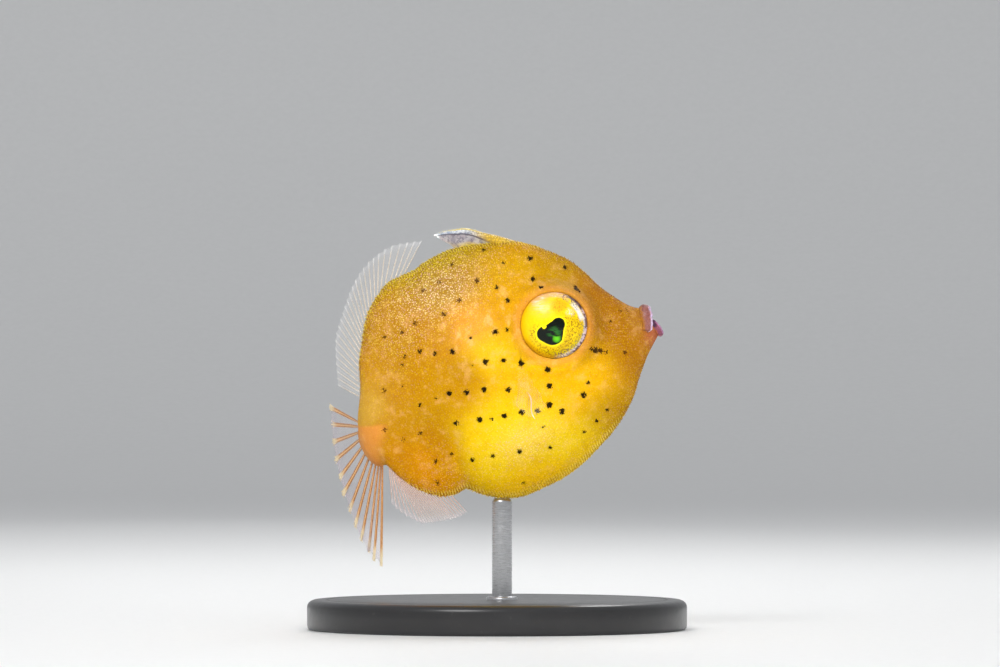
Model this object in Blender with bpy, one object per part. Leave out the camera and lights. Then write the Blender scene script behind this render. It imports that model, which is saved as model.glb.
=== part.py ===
"""A young filefish, life size, held in its swimming pose on a plain display stand.

The fish is modelled in its own frame and carried by an empty: the origin is the tip of its mouth,
+X points forward, +Y to its left and +Z up. The empty lifts it over the stand and pitches its nose up.
Places on the body are written as (back, up): how far behind the mouth and above the body's axis,
in hundredths of the standard length, the way that fish are measured.
"""

import math

import bmesh
import bpy
import numpy as np
from mathutils import Matrix, Vector

MM = 0.001
STANDARD_LENGTH = 17.5 * MM
PERCENT = STANDARD_LENGTH / 100
GAP = 0.26 * MM

PITCH = math.radians(22.9)
MOUTH_PLACE = Vector((8.2 * MM, 0, 15.4 * MM))

# The outline of the body from the side, as (back, up) landmarks from the lips to the tail's root.
BACK_LINE = (
    (2.4, 5.0), (6.0, 7.4), (9.1, 11.2), (12.2, 16.0), (14.7, 21.6), (17.6, 26.7), (21.0, 30.3),
    (26.3, 35.2), (30.6, 37.9), (34.5, 39.2), (41.2, 41.2), (49.0, 42.5), (56.0, 41.9), (59.6, 41.0),
    (66.1, 40.9), (72.3, 38.0), (76.1, 34.9), (80.9, 28.0), (83.9, 23.0), (87.0, 15.0), (90.2, 10.2),
    (92.4, 7.7), (95.4, 6.2), (96.9, 4.2), (97.6, 2.0),
)
BELLY_LINE = (
    (2.4, -3.6), (7.2, -7.6), (11.6, -12.1), (16.4, -17.6), (23.6, -22.9), (30.0, -26.1),
    (38.8, -29.4), (46.0, -30.6), (54.2, -30.8), (60.9, -29.0), (66.8, -25.1), (69.9, -22.4),
    (73.2, -22.7), (75.8, -22.2), (79.5, -20.1), (83.0, -16.8), (86.1, -12.1), (88.6, -7.4),
    (90.6, -7.2), (93.4, -7.0), (95.8, -5.8), (97.0, -3.8), (97.6, -2.0),
)
HALF_WIDTH = (
    (2.4, 2.5), (6.0, 3.4), (12.0, 5.6), (20.0, 9.2), (29.0, 12.0), (42.0, 13.9), (52.0, 13.6),
    (65.0, 10.8), (75.0, 7.6), (84.0, 4.4), (88.0, 3.2), (94.0, 2.8), (96.6, 2.3), (97.6, 1.5),
)
SECTION_FULLNESS = 2.2
SECTION_EDGE = 0.62

# The eye, set in a raised ring of skin on each side of the head.
EYE_PLACE = (28.7, 10.9)
EYE_RADIUS = 1.70 * MM
EYE_DEPTH = 1.05 * MM
EYE_OUT = 1.80 * MM
EYE_RING_RADIUS = 1.98 * MM
EYE_RING_RISE = 0.36 * MM
EYE_RING_SPREAD = 0.45 * MM
EYE_FOLD_RADIUS = 1.97 * MM
EYE_FOLD_THICK = 0.24 * MM
EYE_FOLD_SUNK = 0.06 * MM

# Swellings and hollows of the flank: each has its middle, its reach and how far it stands out.
BELLY_SWELL = 0.44 * MM
BELLY_MIDDLE = (47.0, -14.0)
BELLY_REACH = (26.0, 18.0)
CREASE_TOP = (65.8, -2.6)
CREASE_VENT = (70.0, -23.0)
CREASE_WIDTH = 3.2
CHEEK_HOLLOW = 0.12 * MM
CHEEK_MIDDLE = (15.5, 5.0)
CHEEK_REACH = (6.0, 5.5)
SHOULDER_PAD = 0.20 * MM
SHOULDER_MIDDLE = (42.4, 1.6)
SHOULDER_REACH = (4.0, 5.0)

# The lips are two rolls of flesh round a small mouth; the lower jaw reaches further forward.
LIP_RADIUS = 0.22 * MM
LIP_HALF_WIDTH = 0.36 * MM
UPPER_LIP = ((2.7, 5.0), (3.8, -0.4))
LOWER_LIP = ((1.9, -2.3), (4.0, 0.3))
CHIN_PLACE = (2.9, -1.6)
CHIN_RADII = (0.42 * MM, 0.36 * MM)
MUZZLE_PLACE = (3.8, 2.9)
MUZZLE_RADII = (0.42 * MM, 0.36 * MM)
MOUTH_MIDDLE = (2.3, 1.1)
MOUTH_SLOT = (0.42 * MM, 0.33 * MM, 0.08 * MM)
MOUTH_LEAN = math.radians(45)

# The nostrils, two pits close together ahead of the eye, and the short slit of the gills.
NOSTRILS = ((14.0, 12.6), (15.6, 13.8))
NOSTRIL_RADIUS = 0.11 * MM
NOSTRIL_DEPTH = 0.16 * MM
GILL_TOP = (40.6, 6.6)
GILL_LOW = (41.8, 3.2)
GILL_WIDTH = 0.11 * MM
GILL_DEPTH = 0.30 * MM

# The tail's root turns to the fish's left, on a short bend.
TAIL_TURN = math.radians(74)
TAIL_TURN_RADIUS = 0.90 * MM
TURN_START = 84.7

# The cuts between the head, the trunk and the tail's root, as (back, up) places along each.
HEAD_CUT = ((29.6, 48.0), (31.4, 38.0), (37.0, 25.0), (42.2, 14.0), (45.4, 5.0), (46.0, 0.0),
            (47.0, -8.0), (49.8, -20.0), (54.5, -38.0))
TAIL_CUT = ((83.4, 30.0), (83.4, 10.0), (83.4, -5.0), (83.4, -24.0))
CUT_REACH = 4.0 * MM

# Fins: a membrane with its rays as ridges on both faces, thinner towards the margin.
ROOT_HALF = 0.24 * MM
MARGIN_HALF = 0.15 * MM
RIDGE = 0.10 * MM
SCALLOP = 0.05

# The tail fin spreads from rays that hang straight down to rays that point level, all away to the left.
CAUDAL_RAYS = 12
CAUDAL_SPREAD = math.radians(102)
CAUDAL_ROOT = (92.0, 7.2, 8.9)
CAUDAL_ROOT_ARC = (math.radians(-82), math.radians(56))
CAUDAL_LENGTH = ((0.0, 4.75 * MM), (0.5, 4.15 * MM), (1.0, 4.25 * MM))

# The second fin of the back and the fin behind the vent, along the lobes that bear them.
# Ray angles are from straight ahead, measured level, and lengths run from the front ray to the last.
DORSAL_RAYS = 13
DORSAL_BASE = (60.3, 87.6)
DORSAL_ANGLE = ((0.0, 61), (0.25, 90), (0.6, 118), (1.0, 152))
DORSAL_LENGTH = ((0.0, 1.55 * MM), (0.3, 1.70 * MM), (0.75, 1.45 * MM), (1.0, 0.95 * MM))
DORSAL_WAVE = (0.30 * MM, 1.6, 0.6)
ANAL_RAYS = 11
ANAL_BASE = (73.6, 87.2)
ANAL_ANGLE = ((0.0, -46), (0.4, -52), (0.75, -64), (1.0, -86))
ANAL_LENGTH = ((0.0, 0.85 * MM), (0.35, 1.35 * MM), (0.75, 2.10 * MM), (1.0, 1.45 * MM))
ANAL_WAVE = (0.26 * MM, 1.4, 2.4)

# The small side fins hang down from the shoulder, a little away from the flank.
PECTORAL_RAYS = 9
PECTORAL_REAR = (43.6, 2.2)
PECTORAL_FRONT = (40.9, 0.5)
PECTORAL_ANGLE = ((0.0, -66), (1.0, -98))
PECTORAL_LENGTH = ((0.0, 1.7 * MM), (0.45, 2.3 * MM), (1.0, 1.9 * MM))
PECTORAL_OUT = math.radians(24)
PECTORAL_HALF = 0.20 * MM

# The spine of the back lies down over a web: places forward of the mouth and above it, measured level.
SPINE_TOP = ((-7.90, 4.22), (-8.20, 4.30), (-8.65, 4.38), (-9.10, 4.50), (-9.50, 4.61), (-9.90, 4.65),
             (-10.25, 4.60), (-10.65, 4.55), (-11.00, 4.45), (-11.35, 4.34))
SPINE_LOW = ((-7.90, 3.78), (-8.20, 3.78), (-8.65, 3.90), (-9.10, 4.02), (-9.50, 4.10), (-9.90, 4.02),
             (-10.25, 3.94), (-10.65, 3.92), (-11.00, 4.10), (-11.35, 4.26))
SPINE_RADIUS = (0.25 * MM, 0.07 * MM)
WEB_HALF = 0.13 * MM

# The stand: a round base and one rod that ends just short of the belly.
BASE_RADIUS = 9.5 * MM
BASE_HEIGHT = 1.5 * MM
BASE_BEVEL = 0.35 * MM
ROD_PLACE = 0.25 * MM
ROD_RADIUS = 0.5 * MM
BELLY_HEIGHT = 6.55 * MM

BODY_STATIONS = 72
BODY_SIDES = 44
EVEN_SIDES = 0.5
WELD = 0.004 * MM


def clear_scene():
    for old in list(bpy.data.objects):
        bpy.data.objects.remove(old)


def through(landmarks, at):
    """Heights at the places `at` on a smooth curve through the landmarks that never overshoots them."""
    x, y = (np.array(column, float) for column in zip(*landmarks))
    step = np.diff(x)
    slope = np.diff(y) / step
    lean = np.empty(len(x))
    lean[0], lean[-1] = slope[0], slope[-1]
    before, after = slope[:-1], slope[1:]
    same_way = before * after > 0
    lean[1:-1] = np.where(same_way, 2 * before * after / np.where(same_way, before + after, 1), 0)
    at = np.clip(np.asarray(at, float), x[0], x[-1])
    i = np.clip(np.searchsorted(x, at) - 1, 0, len(step) - 1)
    t = (at - x[i]) / step[i]
    return (
        y[i] * (1 + 2 * t) * (1 - t) ** 2
        + step[i] * lean[i] * t * (1 - t) ** 2
        + y[i + 1] * t**2 * (3 - 2 * t)
        + step[i] * lean[i + 1] * t**2 * (t - 1)
    )


def ease(x):
    """0 below 0, 1 above 1 and smooth between."""
    x = np.clip(x, 0, 1)
    return x * x * (3 - 2 * x)


def mound(back, up, middle, reach):
    """A smooth mound, 1 at its middle and 0 past its reach, over the side of the body."""
    far = np.hypot((back - middle[0]) / reach[0], (up - middle[1]) / reach[1])
    return ease(1 - far)


def swelling(back, up):
    """How far the flank stands out beyond the plain section at (back, up), in metres."""
    crease = np.interp(-up, (-CREASE_TOP[1], -CREASE_VENT[1]), (CREASE_TOP[0], CREASE_VENT[0]))
    rise = BELLY_SWELL * mound(back, up, BELLY_MIDDLE, BELLY_REACH) ** 0.6
    rise = rise * ease((crease - back) / CREASE_WIDTH)
    rise = rise - CHEEK_HOLLOW * mound(back, up, CHEEK_MIDDLE, CHEEK_REACH)
    rise = rise + SHOULDER_PAD * mound(back, up, SHOULDER_MIDDLE, SHOULDER_REACH)
    from_eye = np.hypot(back - EYE_PLACE[0], up - EYE_PLACE[1]) * PERCENT
    outside = np.maximum(from_eye - EYE_RING_RADIUS, 0)
    return rise + EYE_RING_RISE * np.exp(-((outside / EYE_RING_SPREAD) ** 2))


def half_thickness(back, up):
    """Half the body's thickness at (back, up), in metres."""
    top, low = through(BACK_LINE, back), through(BELLY_LINE, back)
    across = np.clip((up - (top + low) / 2) / ((top - low) / 2), -1, 1)
    plain = through(HALF_WIDTH, back) * (1 - np.abs(across) ** SECTION_FULLNESS) ** SECTION_EDGE
    return plain * PERCENT + swelling(back, up) * (1 - across**2)


def turned(point):
    """A point of the tail once the tail's root has turned to the fish's left."""
    start = TURN_START * PERCENT
    past = -point.x - start
    if past <= 0:
        return point.copy()
    angle = min(past / TAIL_TURN_RADIUS, TAIL_TURN)
    straight = past - angle * TAIL_TURN_RADIUS
    reach = start + TAIL_TURN_RADIUS * math.sin(angle) + straight * math.cos(angle)
    aside = TAIL_TURN_RADIUS * (1 - math.cos(angle)) + straight * math.sin(angle)
    return Vector((point.y * math.sin(angle) - reach, point.y * math.cos(angle) + aside, point.z))


def place(back, side, up):
    """The fish-frame point (back, up) with `side` metres to the left of the middle plane."""
    return Vector((-back * PERCENT, side, up * PERCENT))


def finish(name, surface):
    """A helper or a node as an object in the scene, from a bmesh whose faces may point either way."""
    bmesh.ops.recalc_face_normals(surface, faces=surface.faces)
    mesh = bpy.data.meshes.new(name)
    surface.to_mesh(mesh)
    surface.free()
    thing = bpy.data.objects.new(name, mesh)
    bpy.context.scene.collection.objects.link(thing)
    return thing


def lofted(name, rings, closed_ring=True):
    """One closed body through rings of points, each ring with as many points as the next."""
    surface = bmesh.new()
    made = [[surface.verts.new(point) for point in ring] for ring in rings]
    count = len(made[0])
    for near, far in zip(made, made[1:]):
        for i in range(count if closed_ring else count - 1):
            j = (i + 1) % count
            surface.faces.new((near[i], near[j], far[j], far[i]))
    for end in (made[0], made[-1]):
        surface.faces.new(end)
    return finish(name, surface)


def body_rings():
    """Cross-sections of the whole body from the muzzle to the tail's root, closer where it turns fast."""
    first, last = BACK_LINE[0][0], BACK_LINE[-1][0]
    share = np.linspace(0, 1, BODY_STATIONS)
    stations = first + (last - first) * (share - 0.06 * np.sin(2 * np.pi * share) / np.pi)
    angles = np.linspace(0, 2 * math.pi, BODY_SIDES, endpoint=False)
    rings = []
    for back in stations:
        top, low = float(through(BACK_LINE, back)), float(through(BELLY_LINE, back))
        ring = []
        for angle in angles:
            even = 1 - 2 * min(angle, 2 * math.pi - angle) / math.pi
            height = math.cos(angle) + (even - math.cos(angle)) * EVEN_SIDES
            up = (top + low) / 2 + (top - low) / 2 * height
            side = math.copysign(float(half_thickness(back, up)), math.sin(angle))
            if abs(math.sin(angle)) < 1e-9:
                side = 0.0
            ring.append(turned(place(back, side, up)))
        rings.append(ring)
    return rings


def boolean(thing, operation, others):
    """Cuts or joins `thing` with a collection of closed helpers, and removes them."""
    group = bpy.data.collections.new("helpers")
    for other in others:
        group.objects.link(other)
    modifier = thing.modifiers.new(operation, "BOOLEAN")
    modifier.operation = operation
    modifier.operand_type = "COLLECTION"
    modifier.collection = group
    modifier.solver = "EXACT"
    graph = bpy.context.evaluated_depsgraph_get()
    mesh = bpy.data.meshes.new_from_object(thing.evaluated_get(graph))
    thing.modifiers.clear()
    surface = bmesh.new()
    surface.from_mesh(mesh)
    bmesh.ops.remove_doubles(surface, verts=surface.verts, dist=WELD)
    surface.to_mesh(mesh)
    surface.free()
    thing.data = mesh
    for other in others:
        bpy.data.objects.remove(other)
    bpy.data.collections.remove(group)
    return thing


def ellipsoid(name, centre, radii, turns=24, rings=14, upright=(0, 1, 0)):
    """A closed egg with its poles along `upright`; radii are across and along that axis."""
    surface = bmesh.new()
    bmesh.ops.create_uvsphere(surface, u_segments=turns, v_segments=rings, radius=1)
    across, along = radii
    turn = Vector((0, 0, 1)).rotation_difference(Vector(upright)).to_matrix().to_4x4()
    shape = Matrix.Translation(centre) @ turn @ Matrix.Diagonal((across, across, along, 1))
    bmesh.ops.transform(surface, matrix=shape, verts=surface.verts)
    return finish(name, surface)


def cut_wall(name, places):
    """A thin upright wall along a smooth line of (back, up) places, right through the body."""
    line = [place(back, 0, up) for back, up in places]
    rings = []
    for i, point in enumerate(line):
        ahead = line[min(i + 1, len(line) - 1)] - line[max(i - 1, 0)]
        across = Vector((-ahead.z, 0, ahead.x)).normalized() * (GAP / 2)
        reach = Vector((0, CUT_REACH, 0))
        rings.append([point + across - reach, point + across + reach,
                      point - across + reach, point - across - reach])
    return lofted(name, rings)


def smooth_line(places, count):
    """More places on the same line, evenly spread by the landmarks' own order."""
    order = np.arange(len(places))
    at = np.linspace(0, len(places) - 1, count)
    back = through(list(zip(order, [p[0] for p in places])), at)
    up = through(list(zip(order, [p[1] for p in places])), at)
    return list(zip(back, up))


def roll(name, radius, middle, corner):
    """A lip: a round roll that bends from one corner of the mouth over `middle` to the other."""
    rings = []
    for turn in np.linspace(-1, 1, 11):
        angle = math.radians(96) * turn
        share = (1 - math.cos(angle)) / (1 - math.cos(math.radians(96)))
        back = middle[0] + (corner[0] - middle[0]) * share
        up = middle[1] + (corner[1] - middle[1]) * share
        centre = place(back, LIP_HALF_WIDTH * math.sin(angle), up)
        rise = math.copysign(1, middle[1] - corner[1])
        outward = Vector((0.25, math.sin(angle), rise * math.cos(angle))).normalized()
        thick = radius * (1 - 0.35 * turn**2)
        ring = []
        for side in np.linspace(0, 2 * math.pi, 8, endpoint=False):
            offset = Vector((1, 0, 0)) * math.cos(side) + outward * math.sin(side)
            ring.append(centre + offset * thick)
        rings.append(ring)
    return lofted(name, rings)


def eye_fold(name, side):
    """The fold of skin round an eye: a ring that follows the side of the head."""
    surface = bmesh.new()
    rings = []
    for turn in np.linspace(0, 2 * math.pi, 24, endpoint=False):
        ring = []
        for around in np.linspace(0, 2 * math.pi, 6, endpoint=False):
            radius = EYE_FOLD_RADIUS + EYE_FOLD_THICK * math.cos(around)
            back = EYE_PLACE[0] - EYE_FOLD_RADIUS * math.cos(turn) / PERCENT
            up = EYE_PLACE[1] + EYE_FOLD_RADIUS * math.sin(turn) / PERCENT
            out = float(half_thickness(back, up)) - EYE_FOLD_SUNK + EYE_FOLD_THICK * math.sin(around)
            spot = place(EYE_PLACE[0] - radius * math.cos(turn) / PERCENT, side * out,
                         EYE_PLACE[1] + radius * math.sin(turn) / PERCENT)
            ring.append(surface.verts.new(spot))
        rings.append(ring)
    for near, far in zip(rings, rings[1:] + rings[:1]):
        for i in range(len(near)):
            j = (i + 1) % len(near)
            surface.faces.new((near[i], near[j], far[j], far[i]))
    return finish(name, surface)


def slit(name, top, low, width, depth, side):
    """A cutter for a short slit from `top` to `low` on one flank, as deep as `depth`."""
    rings = []
    for share in np.linspace(0, 1, 7):
        back = top[0] + (low[0] - top[0]) * share
        up = top[1] + (low[1] - top[1]) * share
        surface = float(half_thickness(back, up))
        half = width / 2 * (0.25 + math.sin(math.pi * share) * 0.75)
        along = place(low[0] - top[0], 0, low[1] - top[1]).normalized()
        across = Vector((along.z, 0, -along.x)) * half
        inner = place(back, side * (surface - depth), up)
        outer = place(back, side * (surface + depth), up)
        rings.append([inner - across, inner + across, outer + across, outer - across])
    return lofted(name, rings)


def make_body():
    """The whole body, parted into the head, the trunk and the tail's root by two thin cuts."""
    whole = lofted("body", body_rings())
    boolean(whole, "UNION", [
        roll("upper lip", LIP_RADIUS, *UPPER_LIP),
        roll("lower lip", LIP_RADIUS, *LOWER_LIP),
        ellipsoid("chin", place(CHIN_PLACE[0], 0, CHIN_PLACE[1]), CHIN_RADII, 14, 8),
        ellipsoid("muzzle", place(MUZZLE_PLACE[0], 0, MUZZLE_PLACE[1]), MUZZLE_RADII, 14, 8),
        eye_fold("left fold", 1),
        eye_fold("right fold", -1),
    ])
    cutters = [
        cut_wall("head cut", smooth_line(HEAD_CUT, 17)),
        cut_wall("tail cut", TAIL_CUT),
        mouth_slot(),
    ]
    for side in (-1, 1):
        socket = (EYE_RADIUS + GAP, EYE_DEPTH + GAP)
        centre = place(EYE_PLACE[0], side * EYE_OUT, EYE_PLACE[1])
        cutters.append(ellipsoid("socket", centre, socket, 24, 12))
        cutters.append(slit("gill slit", GILL_TOP, GILL_LOW, GILL_WIDTH, GILL_DEPTH, side))
        for back, up in NOSTRILS:
            centre = place(back, side * float(half_thickness(back, up)), up)
            cutters.append(ellipsoid("nostril", centre, (NOSTRIL_RADIUS, NOSTRIL_DEPTH), 8, 6))
    boolean(whole, "DIFFERENCE", cutters)
    nodes = {}
    for piece in islands(whole):
        middle = sum((v.co.x for v in piece.verts), 0.0) / len(piece.verts)
        name = "head" if middle > place(42, 0, 0).x else "torso"
        name = "tail_base" if middle < place(TURN_START, 0, 0).x else name
        if name not in nodes or len(piece.verts) > len(nodes[name].verts):
            nodes[name] = piece
    bpy.data.objects.remove(whole)
    return [finish(name, piece) for name, piece in nodes.items()]


def mouth_slot():
    """The cutter for the line of the mouth, a thin lens between the lips."""
    long, wide, thick = MOUTH_SLOT
    surface = bmesh.new()
    bmesh.ops.create_uvsphere(surface, u_segments=16, v_segments=8, radius=1)
    shape = (
        Matrix.Translation(place(MOUTH_MIDDLE[0], 0, MOUTH_MIDDLE[1]))
        @ Matrix.Rotation(MOUTH_LEAN, 4, "Y")
        @ Matrix.Diagonal((thick, wide, long, 1))
    )
    bmesh.ops.transform(surface, matrix=shape, verts=surface.verts)
    return finish("mouth", surface)


def islands(thing):
    """Each closed surface of an object's mesh as a bmesh of its own."""
    surface = bmesh.new()
    surface.from_mesh(thing.data)
    left = set(surface.verts)
    groups = []
    while left:
        group, edge = set(), [left.pop()]
        while edge:
            vert = edge.pop()
            group.add(vert)
            for link in vert.link_edges:
                other = link.other_vert(vert)
                if other in left:
                    left.remove(other)
                    edge.append(other)
        groups.append({vert.index for vert in group})
    surface.free()
    pieces = []
    for group in groups:
        piece = bmesh.new()
        piece.from_mesh(thing.data)
        unwanted = [vert for vert in piece.verts if vert.index not in group]
        bmesh.ops.delete(piece, geom=unwanted, context="VERTS")
        pieces.append(piece)
    return pieces


def level(x, y, z):
    """A direction measured level with the stand, as the pitched fish's own frame has it."""
    return Vector((
        x * math.cos(PITCH) + z * math.sin(PITCH),
        y,
        z * math.cos(PITCH) - x * math.sin(PITCH),
    ))


def between(steps, at):
    """A straight-line reading of (place, value) steps."""
    places, values = zip(*steps)
    return float(np.interp(at, places, values))


def outline_roots(line, base, outward, count=400):
    """Points evenly spread along part of the body's outline, set GAP outside it."""
    back = np.linspace(base[0], base[1], count)
    up = through(line, back)
    length = np.concatenate([[0], np.cumsum(np.hypot(np.diff(back), np.diff(up)))])
    slope = np.gradient(up, back)

    def root(share):
        far = share * length[-1]
        at = float(np.interp(far, length, back))
        lean = float(np.interp(far, length, slope))
        normal = Vector((lean, 0, 1)).normalized() * outward
        return place(at, 0, float(through(line, at))) + normal * GAP

    return root


def ray_columns(rays, ridge_width=0.24):
    """Places across a fin with how much ridge each has: two shoulders and a crest a ray, then a trough."""
    step = 1 / (rays - 1 + 2 * ridge_width)
    columns = []
    for ray in range(rays):
        middle = (ray + ridge_width) * step
        columns += [(middle - ridge_width * step, 0), (middle, 1), (middle + ridge_width * step, 0)]
        if ray < rays - 1:
            columns.append((middle + step / 2, -1))
    return columns


def fin(name, rays, point, facing, rows=6, root_half=ROOT_HALF):
    """A fin from point(across, along), thickened along `facing`: its two faces are split alike."""
    columns = ray_columns(rays)
    along = np.linspace(0, 1, rows)
    middle, half = {}, {}
    for j, (across, ridge) in enumerate(columns):
        for i, share in enumerate(along):
            reach = share * (1 - SCALLOP * (ridge < 0) - 0.4 * SCALLOP * (ridge == 0))
            middle[j, i] = point(across, reach)
            half[j, i] = root_half + (MARGIN_HALF - root_half) * share
            if ridge > 0:
                half[j, i] += RIDGE * (1 - 0.5 * share)
    surface = bmesh.new()
    faces = {}
    last = len(columns) - 1
    for j in range(len(columns)):
        for i in range(rows):
            for side in (-1, 1):
                spot = middle[j, i] + facing * (half[j, i] * side)
                faces[side, j, i] = surface.verts.new(spot)
    for j in range(last):
        for i in range(rows - 1):
            for side in (-1, 1):
                a, b = faces[side, j, i], faces[side, j + 1, i]
                c, d = faces[side, j + 1, i + 1], faces[side, j, i + 1]
                surface.faces.new((a, b, c))
                surface.faces.new((a, c, d))
    rim = [(j, 0) for j in range(last)] + [(last, i) for i in range(rows - 1)]
    rim += [(j, rows - 1) for j in range(last, 0, -1)] + [(0, i) for i in range(rows - 1, 0, -1)]
    for here, there in zip(rim, rim[1:] + rim[:1]):
        a, b = faces[(-1, *here)], faces[(-1, *there)]
        c, d = faces[(1, *there)], faces[(1, *here)]
        surface.faces.new((a, b, c))
        surface.faces.new((a, c, d))
    return finish(name, surface)


def make_caudal_fin():
    """The tail fin, a flat fan that has turned away with the tail's root."""
    away = Vector((-math.cos(TAIL_TURN), math.sin(TAIL_TURN), 0))
    centre, reach_back, reach_up = CAUDAL_ROOT

    def point(across, along):
        arc = CAUDAL_ROOT_ARC[0] + (CAUDAL_ROOT_ARC[1] - CAUDAL_ROOT_ARC[0]) * across
        root = turned(place(centre + reach_back * math.cos(arc), 0, reach_up * math.sin(arc)))
        angle = CAUDAL_SPREAD * across
        ray = level(away.x * math.sin(angle), away.y * math.sin(angle), -math.cos(angle))
        return root + ray * between(CAUDAL_LENGTH, across) * along

    return fin("fin_caudal", CAUDAL_RAYS, point, level(-away.y, away.x, 0), rows=7)


def make_lobe_fin(name, rays, roots, angles, lengths, wave):
    """A fin along the edge of a lobe, which ripples sideways towards its margin."""
    size, waves, start = wave

    def point(across, along):
        angle = math.radians(between(angles, across))
        ray = level(math.cos(angle), 0, math.sin(angle))
        ripple = size * math.sin(2 * math.pi * waves * across + start) * along**1.3
        return roots(across) + ray * between(lengths, across) * along + Vector((0, ripple, 0))

    return fin(name, rays, point, Vector((0, 1, 0)))


def make_pectoral_fin(name, side):
    """A side fin on the left (side 1) or the right (side -1), held clear of the flank below it."""

    def point(across, along):
        back = PECTORAL_REAR[0] + (PECTORAL_FRONT[0] - PECTORAL_REAR[0]) * across
        up = PECTORAL_REAR[1] + (PECTORAL_FRONT[1] - PECTORAL_REAR[1]) * across
        clear = GAP + PECTORAL_HALF
        root = float(half_thickness(back, up)) + clear
        angle = math.radians(between(PECTORAL_ANGLE, across))
        reach = between(PECTORAL_LENGTH, across) * along
        back += reach * math.cos(PECTORAL_OUT) * math.cos(angle) / PERCENT
        up += reach * math.cos(PECTORAL_OUT) * math.sin(angle) / PERCENT
        out = root + reach * math.sin(PECTORAL_OUT)
        out = max(out, float(half_thickness(back, up)) + clear)
        return place(back, side * out, up)

    facing = Vector((0, side * math.cos(PECTORAL_OUT), math.sin(PECTORAL_OUT)))
    return fin(name, PECTORAL_RAYS, point, facing, rows=5, root_half=PECTORAL_HALF)


def spine(name, extra):
    """The spine of the back with its web, made `extra` larger all round for the groove it lies in."""
    rings = []
    count = len(SPINE_TOP)
    for i, ((ahead, top), (_, low)) in enumerate(zip(SPINE_TOP, SPINE_LOW)):
        share = i / (count - 1)
        radius = SPINE_RADIUS[0] + (SPINE_RADIUS[1] - SPINE_RADIUS[0]) * share**1.5 + extra
        web = min(WEB_HALF + extra, radius * 0.8)
        top, low = top * MM + extra, low * MM - extra
        ahead = ahead * MM + (extra if i == 0 else 0) - (extra if i == count - 1 else 0)
        waist = max(top - 2 * radius, low + 0.15 * (top - low))
        half = [(0, top), (0.72, top - 0.3 * radius), (1, top - radius), (0.8, waist)]
        ring = [(share_out * radius, height) for share_out, height in half]
        ring += [(web, low + 0.06 * (top - low)), (web * 0.5, low)]
        ring += [(-out, height) for out, height in reversed(ring[1:])]
        rings.append([level(ahead, out, height) for out, height in ring])
    return lofted(name, rings)


def make_eye(name, side):
    eye = ellipsoid(name, (0, 0, 0), (EYE_RADIUS, EYE_DEPTH), 24, 12)
    eye.location = place(EYE_PLACE[0], side * EYE_OUT, EYE_PLACE[1])
    return eye


def turned_disc(name, profile, segments):
    """A round solid from (radius, height) places up its side."""
    rings = []
    for radius, height in profile:
        angles = np.linspace(0, 2 * math.pi, segments, endpoint=False)
        rings.append([Vector((radius * math.cos(a), radius * math.sin(a), height)) for a in angles])
    return lofted(name, rings)


def make_stand():
    """The base with softened edges and the rod, which stands on it with a thin gap."""
    soft = [math.radians(angle) for angle in (0, 30, 60, 90)]
    inner = BASE_RADIUS - BASE_BEVEL
    side = [(inner + BASE_BEVEL * math.cos(a), BASE_HEIGHT - BASE_BEVEL * (1 - math.sin(a))) for a in soft]
    base = turned_disc("stand_base", [(BASE_RADIUS - 0.15 * MM, 0), (BASE_RADIUS, 0.15 * MM)] + side, 48)
    low, high = BASE_HEIGHT + GAP, BELLY_HEIGHT - GAP
    soft_end = ROD_RADIUS * 0.25
    rod = turned_disc("stand_rod", [
        (ROD_RADIUS, low),
        (ROD_RADIUS, high - soft_end),
        (ROD_RADIUS - soft_end, high),
    ], 24)
    rod.location = (ROD_PLACE, 0, 0)
    return [base, rod]


def paint(thing, colour, roughness, metallic=0.0):
    """Gives a node its own material and smooth shading."""
    material = bpy.data.materials.new(thing.name)
    material.use_nodes = True
    shader = material.node_tree.nodes["Principled BSDF"]
    shader.inputs["Base Color"].default_value = (*colour, 1)
    shader.inputs["Roughness"].default_value = roughness
    shader.inputs["Metallic"].default_value = metallic
    thing.data.materials.clear()
    thing.data.materials.append(material)
    thing.data.shade_smooth()
    thing.data.set_sharp_from_angle(angle=math.radians(40))


def main():
    clear_scene()
    pose = bpy.data.objects.new("fish pose", None)
    bpy.context.scene.collection.objects.link(pose)
    pose.location = MOUTH_PLACE
    pose.rotation_euler = (0, -PITCH, 0)

    fish = make_body()
    torso = next(thing for thing in fish if thing.name == "torso")
    boolean(torso, "DIFFERENCE", [spine("groove", GAP)])
    fish += [
        make_caudal_fin(),
        make_lobe_fin("fin_dorsal_soft", DORSAL_RAYS, outline_roots(BACK_LINE, DORSAL_BASE, 1),
                      DORSAL_ANGLE, DORSAL_LENGTH, DORSAL_WAVE),
        make_lobe_fin("fin_anal", ANAL_RAYS, outline_roots(BELLY_LINE, ANAL_BASE, -1),
                      ANAL_ANGLE, ANAL_LENGTH, ANAL_WAVE),
        make_pectoral_fin("fin_pectoral_left", 1),
        make_pectoral_fin("fin_pectoral_right", -1),
        spine("spine_dorsal", 0),
        make_eye("eye_left", 1),
        make_eye("eye_right", -1),
    ]
    for thing in fish:
        thing.parent = pose
    colours = {
        "head": (0.80, 0.52, 0.06),
        "torso": (0.82, 0.50, 0.07),
        "tail_base": (0.80, 0.46, 0.16),
        "fin_caudal": (0.85, 0.52, 0.22),
        "eye": (0.78, 0.58, 0.05),
        "spine": (0.62, 0.66, 0.68),
        "fin": (0.82, 0.78, 0.62),
        "stand_base": (0.05, 0.05, 0.055),
        "stand_rod": (0.55, 0.56, 0.58),
    }
    for thing in fish + make_stand():
        colour = next(value for key, value in colours.items() if thing.name.startswith(key))
        roughness = 0.15 if thing.name.startswith("eye") else 0.5
        paint(thing, colour, roughness, 1.0 if thing.name == "stand_rod" else 0.0)


main()
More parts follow.
